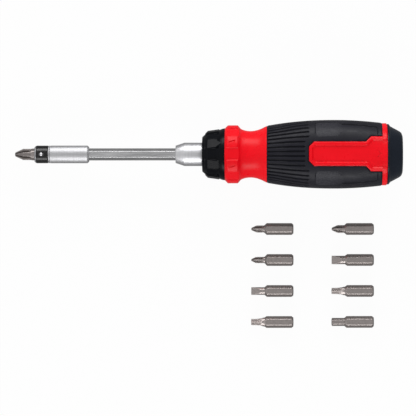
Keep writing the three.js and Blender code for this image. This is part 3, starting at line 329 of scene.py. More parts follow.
# A material's shader and the means to add nodes to it
class Finish:
    def __init__(self, name, **sockets):
        self.material = bpy.data.materials.new(name)
        self.material.use_nodes = True
        self.tree = self.material.node_tree
        self.shader = self.tree.nodes["Principled BSDF"]
        for socket, value in sockets.items():
            self.shader.inputs[socket.replace("_", " ")].default_value = value
        self.place = self.tree.nodes.new("ShaderNodeTexCoord").outputs["Object"]

    def link(self, output, target):
        self.tree.links.new(output, target)

    # Noise with so many cells to the metre, drawn out along the driver by a stretch
    def noise(self, cells, stretch, detail=NOISE_DETAIL):
        mapping = self.tree.nodes.new("ShaderNodeMapping")
        mapping.inputs["Rotation"].default_value = (0, LEAN, 0)
        mapping.inputs["Scale"].default_value = stretch
        noise = self.tree.nodes.new("ShaderNodeTexNoise")
        noise.inputs["Scale"].default_value = cells
        noise.inputs["Detail"].default_value = detail
        self.link(self.place, mapping.inputs["Vector"])
        self.link(mapping.outputs["Vector"], noise.inputs["Vector"])
        return noise.outputs["Fac"]

    # Colour that drifts between two tones
    def tones(self, cells, low, high, stretch=EVEN):
        ramp = self.tree.nodes.new("ShaderNodeValToRGB")
        stops = ((NOISE_LOW, low), (NOISE_HIGH, high))
        for element, (position, colour) in zip(ramp.color_ramp.elements, stops):
            element.position = position
            element.color = (*colour, 1)
        self.link(self.noise(cells, stretch), ramp.inputs["Fac"])
        return ramp.outputs["Color"]

    # One colour where the mesh is marked and another where it isn't
    def by_mark(self, mark, unmarked, marked):
        share = self.tree.nodes.new("ShaderNodeAttribute")
        share.attribute_name = mark
        mix = self.tree.nodes.new("ShaderNodeMix")
        mix.data_type = "RGBA"
        self.link(share.outputs["Fac"], mix.inputs["Factor"])
        self.link(unmarked, mix.inputs["A"])
        self.link(marked, mix.inputs["B"])
        return mix.outputs["Result"]

    def colour(self, output):
        self.link(output, self.shader.inputs["Base Color"])

    def roughness(self, cells, low, high, stretch=EVEN):
        spread = self.tree.nodes.new("ShaderNodeMapRange")
        spread.inputs["From Min"].default_value = NOISE_LOW
        spread.inputs["From Max"].default_value = NOISE_HIGH
        spread.inputs["To Min"].default_value = low
        spread.inputs["To Max"].default_value = high
        self.link(self.noise(cells, stretch), spread.inputs["Value"])
        self.link(spread.outputs["Result"], self.shader.inputs["Roughness"])

    # Fine relief of a given height in millimetres
    def relief(self, cells, height, strength, stretch=EVEN):
        bump = self.tree.nodes.new("ShaderNodeBump")
        bump.inputs["Strength"].default_value = strength
        bump.inputs["Distance"].default_value = height * MM
        self.link(self.noise(cells, stretch, RELIEF_DETAIL), bump.inputs["Height"])
        self.link(bump.outputs["Normal"], self.shader.inputs["Normal"])


# Plastic or rubber; where the mesh is marked it has a pattern of (cells, low, high) of its own: a painted sheen on
# the rubber pads, and the cap's own bluish tone
def plastic(name, low, high, rough, grain, pale=None, **sockets):
    finish = Finish(name, **sockets)
    base = finish.tones(TONE_CELLS, low, high)
    if pale:
        # Painted sheen where the rubber is marked; the cap's own tone where the black plastic is
        base = finish.by_mark(SHEEN_AND_TONE_MARK, base, finish.tones(*pale))
    finish.colour(base)
    finish.roughness(ROUGHNESS_CELLS, *rough)
    finish.relief(*grain)
    return finish.material


# Metal, drawn or turned by its stretch; where the mesh is marked as a flute it gets a painted shade, a darker tone
# for the shade in the hollow
def metal(name, low, high, rough, stretch, lines, height, dark=None):
    finish = Finish(name, Metallic=1.0)
    base = finish.tones(lines / LINES_PER_TONE, low, high, stretch)
    # Painted shade in the flutes
    if dark:
        base = finish.by_mark(FLUTE_SHADE_MARK, base, finish.tones(lines / LINES_PER_TONE, *dark, stretch))
    finish.colour(base)
    finish.roughness(lines / LINES_PER_ROUGHNESS, *rough, stretch)
    finish.relief(lines, height, METAL_STRENGTH, stretch)
    return finish.material


# Finishes by slot: tones, roughness, and a grain of (cells, height, strength) or the lines of a metal
FINISHES = {
    "red_plastic": (plastic, dict(
        low=(0.77, 0.002, 0.0085), high=(0.82, 0.0027, 0.0105), rough=(0.26, 0.34),
        grain=(2600, 0.02, 0.06), Specular_IOR_Level=0.17)),
    "black_rubber": (plastic, dict(
        low=(0.006, 0.006, 0.0108), high=(0.0095, 0.0095, 0.0152), rough=(0.42, 0.52),
        grain=(3200, 0.05, 0.4), Specular_IOR_Level=0.22,
        # Painted sheen: the pads are lighter, as if they caught the light
        pale=(PAD_CELLS, (0.0095, 0.0095, 0.0152), (0.039, 0.039, 0.0475)))),
    "black_plastic": (plastic, dict(
        low=(0.002, 0.0024, 0.0036), high=(0.003, 0.0036, 0.0054), rough=(0.2, 0.28),
        grain=(2800, 0.02, 0.2), Specular_IOR_Level=0.11,
        # The cap's own bluish tone
        pale=(TONE_CELLS, (0.0103, 0.0133, 0.02), (0.0127, 0.0163, 0.024)))),
    "black_oxide": (plastic, dict(
        low=(0.006, 0.006, 0.0065), high=(0.009, 0.009, 0.0095), rough=(0.2, 0.28),
        grain=(3600, 0.02, 0.2), Specular_IOR_Level=0.4)),
    "seal_rubber": (plastic, dict(
        low=(0.01, 0.01, 0.011), high=(0.016, 0.016, 0.017), rough=(0.5, 0.6),
        grain=(2400, 0.02, 0.3))),
    "chrome": (metal, dict(
        low=(0.64, 0.64, 0.66), high=(0.72, 0.72, 0.74), rough=(0.4, 0.46),
        stretch=TURNED, lines=3000, height=0.004)),
    "plated_steel": (metal, dict(
        low=(0.5, 0.5, 0.515), high=(0.56, 0.56, 0.575), rough=(0.5, 0.56),
        stretch=TURNED, lines=4200, height=0.002)),
    "shaft_steel": (metal, dict(
        low=(0.47, 0.47, 0.48), high=(0.78, 0.78, 0.79), rough=(0.24, 0.32),
        stretch=DRAWN, lines=3600, height=0.006)),
    "bit_steel": (metal, dict(
        low=(0.36, 0.324, 0.312), high=(0.445, 0.403, 0.389), rough=(0.37, 0.45),
        # Painted shade in the flutes and over the mounted bit's tip
        stretch=EVEN, lines=3000, height=0.006, dark=((0.03, 0.026, 0.025), (0.045, 0.04, 0.038)))),
    "hardened_steel": (metal, dict(
        low=(0.22, 0.22, 0.235), high=(0.30, 0.30, 0.315), rough=(0.3, 0.42),
        stretch=EVEN, lines=2200, height=0.01)),
    "bronze": (metal, dict(
        low=(0.46, 0.29, 0.11), high=(0.56, 0.37, 0.16), rough=(0.34, 0.46),
        stretch=EVEN, lines=2600, height=0.02)),
}
MATERIALS = {slot: make(slot, **looks) for slot, (make, looks) in FINISHES.items()}


# A new object from points and faces, put in place by a matrix, riding on a body with a slot's finish
def make_piece(name, points, faces, placement, body, slot, *nodes):
    mesh = bpy.data.meshes.new(name)
    mesh.from_pydata([tuple(p) for p in points], [], faces)
    mesh.transform(placement)
    mesh.update()
    mesh.polygons.foreach_set("use_smooth", [True] * len(mesh.polygons))
    mesh.set_sharp_from_angle(angle=SMOOTH_ANGLE)
    piece = bpy.data.objects.new(name, mesh)
    bpy.context.scene.collection.objects.link(piece)
    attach(piece, body)
    if nodes:
        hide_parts(*nodes)
    piece.data.materials.append(MATERIALS[slot])
    return piece


# Points and faces of rings (x, radius or function of x and angle), closed on itself or by end faces
def ring_form(rings, sides, closed=False):
    degrees = round_degrees(sides)
    sine, cosine = np.sin(np.radians(degrees)), np.cos(np.radians(degrees))
    points = []
    for x, radius in rings:
        r = radius(x, degrees) if callable(radius) else np.full(sides, float(radius))
        points.append(np.column_stack([np.full(sides, x), r * sine, r * cosine]))
    here = np.arange(sides)
    after = np.roll(here, -1)
    faces = []
    for k in range(len(rings) if closed else len(rings) - 1):
        a = k * sides
        b = ((k + 1) % len(rings)) * sides
        faces += np.column_stack([a + here, b + here, b + after, a + after]).tolist()
    if not closed:
        faces.append(here.tolist())
        faces.append((here[::-1] + (len(rings) - 1) * sides).tolist())
    return np.concatenate(points), faces


def ring_piece(name, rings, sides, body, slot, *nodes, closed=False, placement=TO_WORLD):
    points, faces = ring_form(rings, sides, closed)
    return make_piece(name, points, faces, placement, body, slot, *nodes)


# A share stored at each point of a piece, given ring by ring, for its finish to read
def mark_points(piece, mark, shares):
    piece.data.attributes.new(mark, "FLOAT", "POINT").data.foreach_set("value", np.concatenate(shares))


# Takes a tool solid away from a piece
def cut_away(piece, points, faces, placement):
    mesh = bpy.data.meshes.new("cutter")
    mesh.from_pydata([tuple(p) for p in points], [], faces)
    mesh.transform(placement)
    cutter = bpy.data.objects.new("cutter", mesh)
    bpy.context.scene.collection.objects.link(cutter)
    cut = piece.modifiers.new("cut", "BOOLEAN")
    cut.object = cutter
    cut.solver = "EXACT"
    bpy.context.view_layer.update()
    shaped = bpy.data.meshes.new_from_object(piece.evaluated_get(bpy.context.evaluated_depsgraph_get()))
    piece.modifiers.clear()
    piece.data = shaped
    shaped.set_sharp_from_angle(angle=SMOOTH_ANGLE)
    bpy.data.objects.remove(cutter)


HEX_CREASE = 0.06


# Distance from the axis to a hexagon whose corners are turned to a radius; a flat faces up
def hexagon(flats, corner):
    def radius(_, degrees):
        across = np.radians(from_spoke(degrees, 60))
        return soft_min(flats / 2 / np.cos(across), np.full(degrees.shape, corner), HEX_CREASE)
    return radius


# Grip: half-width across its flat sides, and radius, at a distance behind its front edge
def grip_half(d):
    front = BELLY_RADIUS - (BELLY_RADIUS - GRIP_FRONT) * np.clip(1 - d / BELLY_AT, 0, None) ** BELLY_POWER
    share = np.clip((d - BELLY_AT) / (GRIP_LENGTH - BELLY_AT), 0, None)
    return front - (BELLY_RADIUS - GRIP_REAR) * share ** 2


def grip_radius(d, degrees):
    bulge = CORNER_BULGE * smooth(d, 0, BULGE_FULL_AT)
    bulge += (CORNER_BULGE_REAR - CORNER_BULGE) * smooth(d, GRIP_LENGTH - BULGE_FADE, GRIP_LENGTH)
    return grip_half(d) * (1 + bulge / 2 * (1 - np.cos(np.radians(4 * degrees))))


def tube_radius(d):
    return grip_half(d) - RUBBER_THICKNESS


# Both sides of a plan outline given by the corners of one side
def mirrored(side):
    return side + [(x, -y) for x, y in reversed(side)]


PANEL_CHAMFER_SHARE = 0.45
PANEL_PAST_END = 1


# One side of a panel's plan, drawn in by a border
def panel_side(border):
    half = PANEL_HALF - border
    wide = PANEL_WIDE_HALF - border
    wide_at = PANEL_WIDE_FROM + border / 2
    front = PANEL_FROM + border
    chamfer = min(PANEL_CHAMFER, half * PANEL_CHAMFER_SHARE)
    return [
        (front, half - chamfer), (front + chamfer, half),
        (wide_at - (wide - half), half), (wide_at, wide), (GRIP_LENGTH + PANEL_PAST_END, wide),
    ]


# Outlines on the rubber, and where their edges begin and end, measured outwards
PAD_OUTLINE = mirrored([
    (PAD_FROM, PAD_HALF - PAD_CHAMFER), (PAD_FROM + PAD_CHAMFER, PAD_HALF),
    (PAD_NARROW_FROM - (PAD_HALF - PAD_NARROW_HALF), PAD_HALF), (PAD_NARROW_FROM, PAD_NARROW_HALF),
    (GRIP_LENGTH - PAD_BEFORE_END, PAD_NARROW_HALF),
])
PAD_EDGE = (-0.4, 0.1)
WINDOW_OUTLINE = mirrored(panel_side(-WINDOW_PLAY))
WINDOW_EDGE = (-0.1, 0.05)
WINDOW_FLOOR = 0.4
GROOVE_EDGE = (GROOVE_HALF * 0.55, GROOVE_HALF * 1.75)

# Rounded edges of the rubber: drop and width, round the windows and at its two ends
BRIM_DROP = 0.22
END_DROP = 0.35
EDGE_WIDTH = 0.7

# The painted sheen of a pad fades towards its narrow end: how much of it, and where
PAD_SHEEN_FADE = 0.7
PAD_SHEEN_FADE_FROM = PAD_FROM + 8
PAD_SHEEN_FADE_TO = PAD_NARROW_FROM + 4


def pad_share(x, degrees):
    d = x - GRIP_AT
    arc = grip_radius(d, degrees) * np.radians(from_spoke(degrees, 90, 45))
    return 1 - smooth(outline_distance(PAD_OUTLINE, np.full(degrees.shape, d), arc), *PAD_EDGE)


# Rubber skin: lengthwise grooves in front, a sunk pad on each corner, and a window round each red panel
def rubber_radius(x, degrees):
    d = x - GRIP_AT
    form = grip_radius(d, degrees)
    arc = form * np.radians(from_spoke(degrees, GROOVE_PITCH, GROOVE_PITCH / 2))
    beside_panel = np.abs(from_spoke(degrees, 180)) < BESIDE_PANEL
    groove_to = np.where(beside_panel, GROOVE_TO - GROOVE_SHORTER, GROOVE_TO)
    past = np.maximum(np.maximum(GROOVE_FROM - d, d - groove_to), 0)
    groove = 1 - smooth(np.hypot(arc, past), *GROOVE_EDGE)
    across = form * np.sin(np.radians(degrees))
    edge = outline_distance(WINDOW_OUTLINE, np.full(form.shape, d), across)
    window = 1 - smooth(edge, *WINDOW_EDGE)
    brim = BRIM_DROP * (1 - smooth(edge, 0, EDGE_WIDTH))
    ends = END_DROP * (1 - smooth(np.minimum(d, GRIP_LENGTH - d), 0, EDGE_WIDTH))
    skin = form - GROOVE_DEPTH * groove - PAD_DEPTH * pad_share(x, degrees) - brim - ends
    return skin + (tube_radius(d) + WINDOW_FLOOR - skin) * window


def build_grip():
    outer = [(x, rubber_radius) for x in stations(GRIP_AT, GRIP_END, GRIP_STEP)]
    inner = [(x, tube_radius(x - GRIP_AT) + FIT) for x in stations(GRIP_AT, GRIP_END, GRIP_INNER_STEP)[::-1]]
    rings = outer + inner
    grip = ring_piece("grip_rubber", rings, GRIP_SIDES, "handle", "black_rubber", "rubber_grip", closed=True)
    degrees = round_degrees(GRIP_SIDES)
    # Painted sheen on the pads, fading towards their narrow ends
    fade = [1 - PAD_SHEEN_FADE * float(smooth(x - GRIP_AT, PAD_SHEEN_FADE_FROM, PAD_SHEEN_FADE_TO)) for x, _ in outer]
    marks = [pad_share(x, degrees) * share for (x, _), share in zip(outer, fade)]
    marks.append(np.zeros(len(inner) * GRIP_SIDES))
    mark_points(grip, SHEEN_AND_TONE_MARK, marks)


# Red core: front ring with sunk flats, waist, tube under the rubber, rear ring and the storage bore
RING_ROUND = 0.35
RING_PROFILE = rounded([
    (RING_AT, RING_EDGE), (RING_AT + RING_BEVELS[0], RING_RADIUS),
    (WAIST_AT - RING_BEVELS[1], RING_RADIUS), (WAIST_AT, RING_EDGE),
], RING_ROUND)
RECESS_DRAFT = 1.02
RECESS_CREASE = 0.16
RECESS_LEAST_COSINE = 0.05
REAR_BEVEL = 0.6
REAR_ROUND = 0.2
REAR_PROFILE = rounded([
    (GRIP_END, REAR_RING_RADIUS), (CAP_AT - REAR_BEVEL, REAR_RING_RADIUS),
    (CAP_AT, REAR_RING_RADIUS - REAR_BEVEL),
], REAR_ROUND)

# Curve of the waist as (behind the ring, radius), from inside the ring's edge to inside the grip's
WAIST_UNDER_RING = 0.2
WAIST_UNDER_GRIP = 0.1
WAIST_POINTS = ((1.6, WAIST_RADIUS + 0.75), (5.6, WAIST_RADIUS), (10.4, 14.6), (12.8, 15.5), (15.2, 16.7))
WAIST_CURVE = [
    (WAIST_AT, RING_EDGE - WAIST_UNDER_RING),
    *((WAIST_AT + behind, radius) for behind, radius in WAIST_POINTS),
    (GRIP_AT, GRIP_FRONT - WAIST_UNDER_GRIP),
]
WAIST_FIRST = 0.3

# Two small sunk arrows on lands of the ring: corners (along, across), side and turn of each, and edge
ARROW_SHAPE = ((-2.0, 0.28), (2.1, 0.28), (1.5, -1.2), (0.9, -1.0), (1.2, -0.28), (-2.0, -0.28))
ARROWS = ((1, 20), (-1, 200))
ARROW_FORWARD = 0.1
ARROW_AT = RING_AT + RING_LENGTH / 2 - ARROW_FORWARD
ARROW_LAND = RIB_PITCH / 2
ARROW_DEPTH = 0.5
ARROW_EDGE = (-0.12, 0.1)


def arrow_outline(turn):
    sine, cosine = math.sin(math.radians(turn)), math.cos(math.radians(turn))
    return [(a * cosine - b * sine, a * sine + b * cosine) for a, b in ARROW_SHAPE]


def ring_radius(x, degrees):
    land = turned(RING_PROFILE, x, degrees)
    away = np.radians(np.abs(from_spoke(degrees, RIB_PITCH)))
    floor = RING_RADIUS - RECESS_DEPTH
    flat = floor / np.cos(away)
    slope = np.maximum(np.cos(away) - RECESS_DRAFT * np.sin(away), RECESS_LEAST_COSINE)
    wall = (floor - RECESS_HALF * RECESS_DRAFT) / slope
    surface = soft_min(land, np.maximum(flat, wall), RECESS_CREASE)
    for side, turn in ARROWS:
        across = RING_RADIUS * np.radians(from_spoke(degrees, 360, side * ARROW_LAND))
        mark = outline_distance(arrow_outline(turn), np.full(degrees.shape, x - ARROW_AT), across)
        surface = surface - ARROW_DEPTH * (1 - smooth(mark, *ARROW_EDGE))
    return surface


# Rear ring, sunk where the field of each panel runs through it to the cap
def rear_ring_radius(x, degrees):
    ring = turned(REAR_PROFILE, x, degrees)
    across = np.abs(ring * np.sin(np.radians(degrees)))
    edge = PANEL_WIDE_HALF - PANEL_BORDER
    sunk = GRIP_REAR - PANEL_SINK - PANEL_RECESS
    return np.minimum(ring, sunk + (ring - sunk) * smooth(across, edge, edge + PANEL_WALL))


def build_core():
    front = [(x, ring_radius) for x in stations(RING_AT, WAIST_AT, RING_STEP)]
    waist_at = stations(WAIST_AT + WAIST_FIRST, GRIP_AT, WAIST_STEP)
    waist = [(x, float(curve_through(WAIST_CURVE, x))) for x in waist_at]
    tube = [(x, tube_radius(x - GRIP_AT)) for x in stations(GRIP_AT, GRIP_END, TUBE_STEP)]
    rear = [(GRIP_END + FIT, tube_radius(GRIP_LENGTH))]
    rear += [(x, rear_ring_radius) for x in stations(GRIP_END + FIT, CAP_AT, RING_STEP)]
    hollow = [
        (CAP_AT, STORE_RADIUS), (CAP_AT - STORE_DEPTH, STORE_RADIUS), (CAP_AT - STORE_DEPTH, CORE_HOLE),
        (RING_AT + SPIGOT_DEPTH, CORE_HOLE), (RING_AT + SPIGOT_DEPTH, SPIGOT_BORE), (RING_AT, SPIGOT_BORE),
    ]
    rings = front + waist + tube + rear + hollow
    ring_piece("handle_shell", rings, RING_SIDES, "handle", "red_plastic", "handle_core", closed=True)


HEIGHT_ROUNDS = 4


# Height of the grip's form over the driver's middle plane at a plan position, found in a few rounds
def form_height(d, y):
    degrees = np.zeros(y.shape)
    for _ in range(HEIGHT_ROUNDS):
        radius = grip_radius(d, degrees)
        degrees = np.degrees(np.arcsin(np.clip(y / radius, -1, 1)))
    return np.sqrt(radius ** 2 - y ** 2)


# Details of a panel: points across its rim, its bevel, its straight rear end and its skirt
RIM_OUTSIDE = (0, 0.12, 0.25, 0.4, 0.6, 1.0, 1.4)
RIM_INSIDE = (2.8, 3.1)
PANEL_INTO_RING = 0.3
PANEL_BEVEL_DROP = 0.35
PANEL_BEVEL_WIDTH = 0.6
PANEL_STRAIGHT_FROM = PANEL_WIDE_FROM + 2
SKIRT_DROP = 1.2
SKIRT_SHARE = 0.86

# One stroke of the arrow head near the cap, as (before the end of the grip, off the middle)
HEAD_STROKE = ((3.0, 1.9), (2.6, 2.2), (0.3, 0.1), (0.8, -0.15))
HEAD_DEPTH = 0.3
HEAD_EDGE = (-0.1, 0.15)


# Plan of a panel's points: stations, half-width at each, and places across, close together near the rim
def panel_plan():
    at, half_at = np.array(panel_side(0)).T
    wall = PANEL_BORDER - PANEL_WALL
    rim = np.array([*RIM_OUTSIDE, wall, (wall + PANEL_BORDER) / 2, PANEL_BORDER, *RIM_INSIDE])
    even = stations(PANEL_FROM, GRIP_LENGTH + PANEL_INTO_RING, PANEL_STEP)
    along = np.unique(np.concatenate([even, PANEL_FROM + rim, at[:-1]]))
    half = np.interp(along, at, half_at)[:, None]
    middle = (half - rim[-1]) * np.linspace(1, -1, PANEL_COLUMNS)[None, 1:-1]
    across = np.concatenate([half - rim[None, :], middle, (rim[None, :] - half)[:, ::-1]], axis=1)
    return along, half, across[:, ::-1]


# A raised panel: a bevelled border round a sunk field, with a small arrow head sunk near the cap
def build_panel(name, turn):
    along, half, y = panel_plan()
    d = np.repeat(along[:, None], y.shape[1], axis=1)
    inside = -outline_distance(mirrored(panel_side(0)), d, y)
    inside = np.where(d > PANEL_STRAIGHT_FROM, half - np.abs(y), inside)
    height = np.stack([form_height(a, row) for a, row in zip(along, y)]) - PANEL_SINK
    height -= PANEL_BEVEL_DROP * (1 - smooth(inside, 0, PANEL_BEVEL_WIDTH))
    height -= PANEL_RECESS * np.clip((inside - PANEL_BORDER + PANEL_WALL) / PANEL_WALL, 0, 1)
    for way in (1, -1):
        stroke = [(GRIP_LENGTH - before_end, way * off) for before_end, off in HEAD_STROKE]
        height -= HEAD_DEPTH * (1 - smooth(outline_distance(stroke, d, y), *HEAD_EDGE))
    points = np.stack([d + GRIP_AT, y, height], axis=-1).reshape(-1, 3)
    index = np.arange(len(points)).reshape(d.shape)
    quads = np.stack([index[:-1, :-1], index[1:, :-1], index[1:, 1:], index[:-1, 1:]], axis=-1)
    faces = quads.reshape(-1, 4).tolist()
    brim = np.concatenate([index[:, 0], index[-1, 1:], index[-2::-1, -1], index[0, -2:0:-1]])
    skirt = points[brim].copy()
    inner = tube_radius(np.minimum(skirt[:, 0] - GRIP_AT, GRIP_LENGTH))
    skirt[:, 2] = np.minimum(skirt[:, 2] - SKIRT_DROP, inner * SKIRT_SHARE)
    below = len(points) + np.arange(len(brim))
    after = np.roll(np.arange(len(brim)), -1)
    faces += np.column_stack([brim, below, below[after], brim[after]])[:, ::-1].tolist()
    faces.append(below.tolist())
    placement = TO_WORLD @ Matrix.Rotation(math.radians(turn), 4, "X")
    make_piece(name, np.concatenate([points, skirt]), faces, placement, "handle", "red_plastic")


# Selector collar: chamfered ring with raised ribs, one of them a pointer, hollow over the ratchet
WAIST_BEFORE_END = 4.3
WAIST_LESS = 0.25
FLARE_BEFORE_END = 3.1
FLARE_LESS = 0.85
LIP_BEFORE_END = 1.2
LIP_LESS = 0.15
SELECTOR_ROUND = 0.5
SELECTOR_PROFILE = rounded([
    (SELECTOR_AT, SELECTOR_FRONT), (SELECTOR_AT + SELECTOR_CHAMFER, SELECTOR_BODY),
    (SELECTOR_TO - WAIST_BEFORE_END, SELECTOR_WAIST - WAIST_LESS),
    (SELECTOR_TO - FLARE_BEFORE_END, SELECTOR_REAR - FLARE_LESS),
    (SELECTOR_TO - LIP_BEFORE_END, SELECTOR_REAR - LIP_LESS), (SELECTOR_TO, SELECTOR_REAR),
], SELECTOR_ROUND)

# Tops of the ribs, which rise over the collar's chamfer and run out at its ends
RIB_SOFT = 0.22
RIB_LEAST = 0.1
RIB_FRONT_SHARE = 0.75
RIB_CREST_AT = SELECTOR_AT + SELECTOR_CHAMFER + 0.2
RIB_TOPS = [
    (SELECTOR_AT, SELECTOR_FRONT + RIB_LEAST), (RIB_CREST_AT, SELECTOR_BODY + RIB_HEIGHT * RIB_FRONT_SHARE),
    (SELECTOR_TO - RIB_BEFORE_END, SELECTOR_WAIST + RIB_HEIGHT), (SELECTOR_TO, SELECTOR_REAR + RIB_LEAST),
]


def selector_radius(x, degrees):
    body = turned(SELECTOR_PROFILE, x, degrees)
    away = from_spoke(degrees, RIB_PITCH, RIB_PITCH / 2)
    across = np.abs(body * np.sin(np.radians(away)))
    pointer = np.abs(from_spoke(degrees, 360, RIB_PITCH / 2)) < RIB_PITCH / 2
    point = (x - SELECTOR_TO + POINT_BEFORE_END) * POINT_RISE + across * POINT_FALL
    behind = np.where(pointer, point, x - SELECTOR_TO + RIB_BEFORE_END)
    outside = np.maximum(np.maximum(across - RIB_HALF, behind), SELECTOR_AT + RIB_FROM - x)
    rib = turned(RIB_TOPS, x, degrees) / np.cos(np.radians(away))
    share = 1 - smooth(outside, -RIB_SOFT, RIB_SOFT)
    return body + np.maximum(rib - body, 0) * share


def build_selector():
    outer = [(x, selector_radius) for x in stations(SELECTOR_AT, SELECTOR_TO, SELECTOR_STEP)]
    wall = SELECTOR_AT + SELECTOR_WALL
    inner = [
        (SELECTOR_TO, SELECTOR_CAVITY), (wall, SELECTOR_CAVITY), (wall, SELECTOR_BORE),
        (SELECTOR_AT, SELECTOR_BORE),
    ]
    rings = outer + inner
    ring_piece("selector_shell", rings, RING_SIDES, "selector", "black_plastic", "selector_collar",
               closed=True)


# End cap: lip, step and cone to a flat end face, and a spigot with a groove for its seal
CAP_LIP = 1.0
CAP_LIP_LESS = 0.15
CAP_STEP = 1.9
CAP_STEP_LESS = 1.45
CONE_BEFORE_END = 1.9
CONE_MORE = 2.8
DOME_BEFORE_END = 0.75
DOME_MORE = 1.9
CAP_FACE_INNER = 1.0
CAP_ROUND = 0.3
CAP_FACE = rounded([
    (CAP_AT + FIT, SPIGOT_RADIUS), (CAP_AT + FIT, CAP_RADIUS), (CAP_AT + CAP_LIP, CAP_RADIUS - CAP_LIP_LESS),
    (CAP_AT + CAP_STEP, CAP_RADIUS - CAP_STEP_LESS), (CAP_END - CONE_BEFORE_END, CAP_FACE_RADIUS + CONE_MORE),
    (CAP_END - DOME_BEFORE_END, CAP_FACE_RADIUS + DOME_MORE), (CAP_END, CAP_FACE_RADIUS),
    (CAP_END, CAP_FACE_INNER),
], CAP_ROUND)
SPIGOT_CHAMFER = 0.4
SEAL_FROM = SPIGOT_AT + 1.6
SEAL_TO = SPIGOT_AT + 3.4


def build_cap():
    screw_end = SPIGOT_AT + SCREW_DEPTH
    spigot = [
        (CAP_END, CAP_HOLE), (screw_end, CAP_HOLE), (screw_end, SCREW_BORE), (SPIGOT_AT, SCREW_BORE),
        (SPIGOT_AT, SPIGOT_RADIUS - SPIGOT_CHAMFER), (SPIGOT_AT + SPIGOT_CHAMFER, SPIGOT_RADIUS),
        (SEAL_FROM, SPIGOT_RADIUS), (SEAL_FROM, SEAL_RADIUS),
        (SEAL_TO, SEAL_RADIUS), (SEAL_TO, SPIGOT_RADIUS),
    ]
    rings = CAP_FACE + spigot
    cap = ring_piece("cap_shell", rings, ROUND_SIDES, "cap", "black_plastic", "end_cap", closed=True)
    # The cap's own bluish tone, all over
    mark_points(cap, SHEEN_AND_TONE_MARK, [np.ones(ROUND_SIDES)] * len(rings))


# Bit holder: details of its mouth, of the line turned behind its band, and of its rear end
HOLDER_ROUND = 0.12
MOUTH_EDGE = 4.3
MOUTH_DEPTH = 0.3
MOUTH_FLATS = SOCKET_FLATS + 0.5
MOUTH_ROUNDING = HEX_ROUNDING + 0.45
NOSE_CHAMFER = 0.7
NOSE_TAPER = 0.1
SLEEVE_EDGE = 4.9
SLEEVE_BEVEL = 0.5
LINE_AFTER_BAND = 0.85
LINE_HALF = 0.25
LINE_DEPTH = 0.45
HOLDER_REAR_BEVEL = (1.0, 0.75)
BAND_TAPER_TO = 0.8
BALL_HOLE_LESS = 0.15
CUT_PAST = 2

# Inner edge of the round rear faces of the holder and the ferrule, just outside their sockets
REAR_FACE_INNER = 4.2


# A tool that drills from the axis straight up through the holder at the ball
def ball_hole(radius):
    points, faces = ring_form([(0, radius), (HOLDER_RADIUS + CUT_PAST, radius)], HOLE_SIDES)
    upright = Matrix.Translation((BALL_AT, 0, 0)) @ Matrix.Rotation(math.radians(-90), 4, "Y")
    return points, faces, TO_WORLD @ upright


# Bit holder with its socket and its nose band, both drilled for the ball that keeps the bit
def build_holder():
    band_from = BAND_AT + NOSE_MORE
    seat = band_from - FIT
    sleeve = BAND_END + FIT
    line = sleeve + LINE_AFTER_BAND
    magnet_at = BIT_LENGTH + MAGNET_PLAY
    outer = rounded([
        (HOLDER_AT, MOUTH_EDGE), (HOLDER_AT + NOSE_CHAMFER, NOSE_RADIUS - NOSE_TAPER), (seat, NOSE_RADIUS),
        (seat, BAND_INNER - FIT), (sleeve, BAND_INNER - FIT), (sleeve, SLEEVE_EDGE),
        (sleeve + SLEEVE_BEVEL, HOLDER_RADIUS), (line, HOLDER_RADIUS),
        (line + LINE_HALF, HOLDER_RADIUS - LINE_DEPTH), (line + 2 * LINE_HALF, HOLDER_RADIUS),
        (HOLDER_END - HOLDER_REAR_BEVEL[0], HOLDER_RADIUS),
        (HOLDER_END, HOLDER_RADIUS - HOLDER_REAR_BEVEL[1]), (HOLDER_END, REAR_FACE_INNER),
    ], HOLDER_ROUND)
    socket = hexagon(SOCKET_FLATS, SOCKET_ROUNDING)
    mouth = hexagon(MOUTH_FLATS, MOUTH_ROUNDING)
    inner = [
        (HOLDER_END, socket), (SHAFT_AT, socket), (SHAFT_AT, MAGNET_BORE), (magnet_at, MAGNET_BORE),
        (magnet_at, socket), (HOLDER_AT + MOUTH_DEPTH, socket), (HOLDER_AT, mouth),
    ]
    holder = ring_piece("holder_sleeve", outer + inner, HOLDER_SIDES, "drive", "plated_steel", "bit_holder",
                        closed=True)
    cut_away(holder, *ball_hole(BALL_HOLE - BALL_HOLE_LESS))
    rings = rounded([
        (band_from, BAND_INNER), (band_from, NOSE_RADIUS), (BAND_AT + BAND_TAPER_TO, HOLDER_RADIUS),
        (BAND_END, HOLDER_RADIUS), (BAND_END, BAND_INNER),
    ], HOLDER_ROUND)
    band = ring_piece("holder_nose_band", rings, ROUND_SIDES, "drive", "black_oxide", "holder_band",
                      closed=True)
    cut_away(band, *ball_hole(BALL_HOLE))


# Shaft: hexagon bar, then a round journal with a groove for the retaining ring
SHAFT_CHAMFER = 0.4
SHAFT_EVEN_FROM = 1
CLIP_GROOVE = 2.5
JOURNAL_CHAMFER = 0.2


def build_shaft():
    bar = hexagon(HEX_FLATS, HEX_ROUNDING)
    rings = [(SHAFT_AT, JOURNAL_RADIUS), (SHAFT_AT + SHAFT_CHAMFER, bar)]
    rings += [(x, bar) for x in stations(SHAFT_AT + SHAFT_EVEN_FROM, GEAR_END, SHAFT_STEP)]
    rings += [
        (GEAR_END, JOURNAL_RADIUS), (CLIP_AT - FIT, JOURNAL_RADIUS), (CLIP_AT - FIT, CLIP_GROOVE),
        (CLIP_END + FIT, CLIP_GROOVE), (CLIP_END + FIT, JOURNAL_RADIUS),
        (SHAFT_END - JOURNAL_CHAMFER, JOURNAL_RADIUS), (SHAFT_END, JOURNAL_RADIUS - JOURNAL_CHAMFER),
    ]
    ring_piece("shaft_bar", rings, BIT_SIDES, "drive", "shaft_steel", "drive_shaft")


FERRULE_ROUND = 0.15
FERRULE_FACE_INNER = 4.0


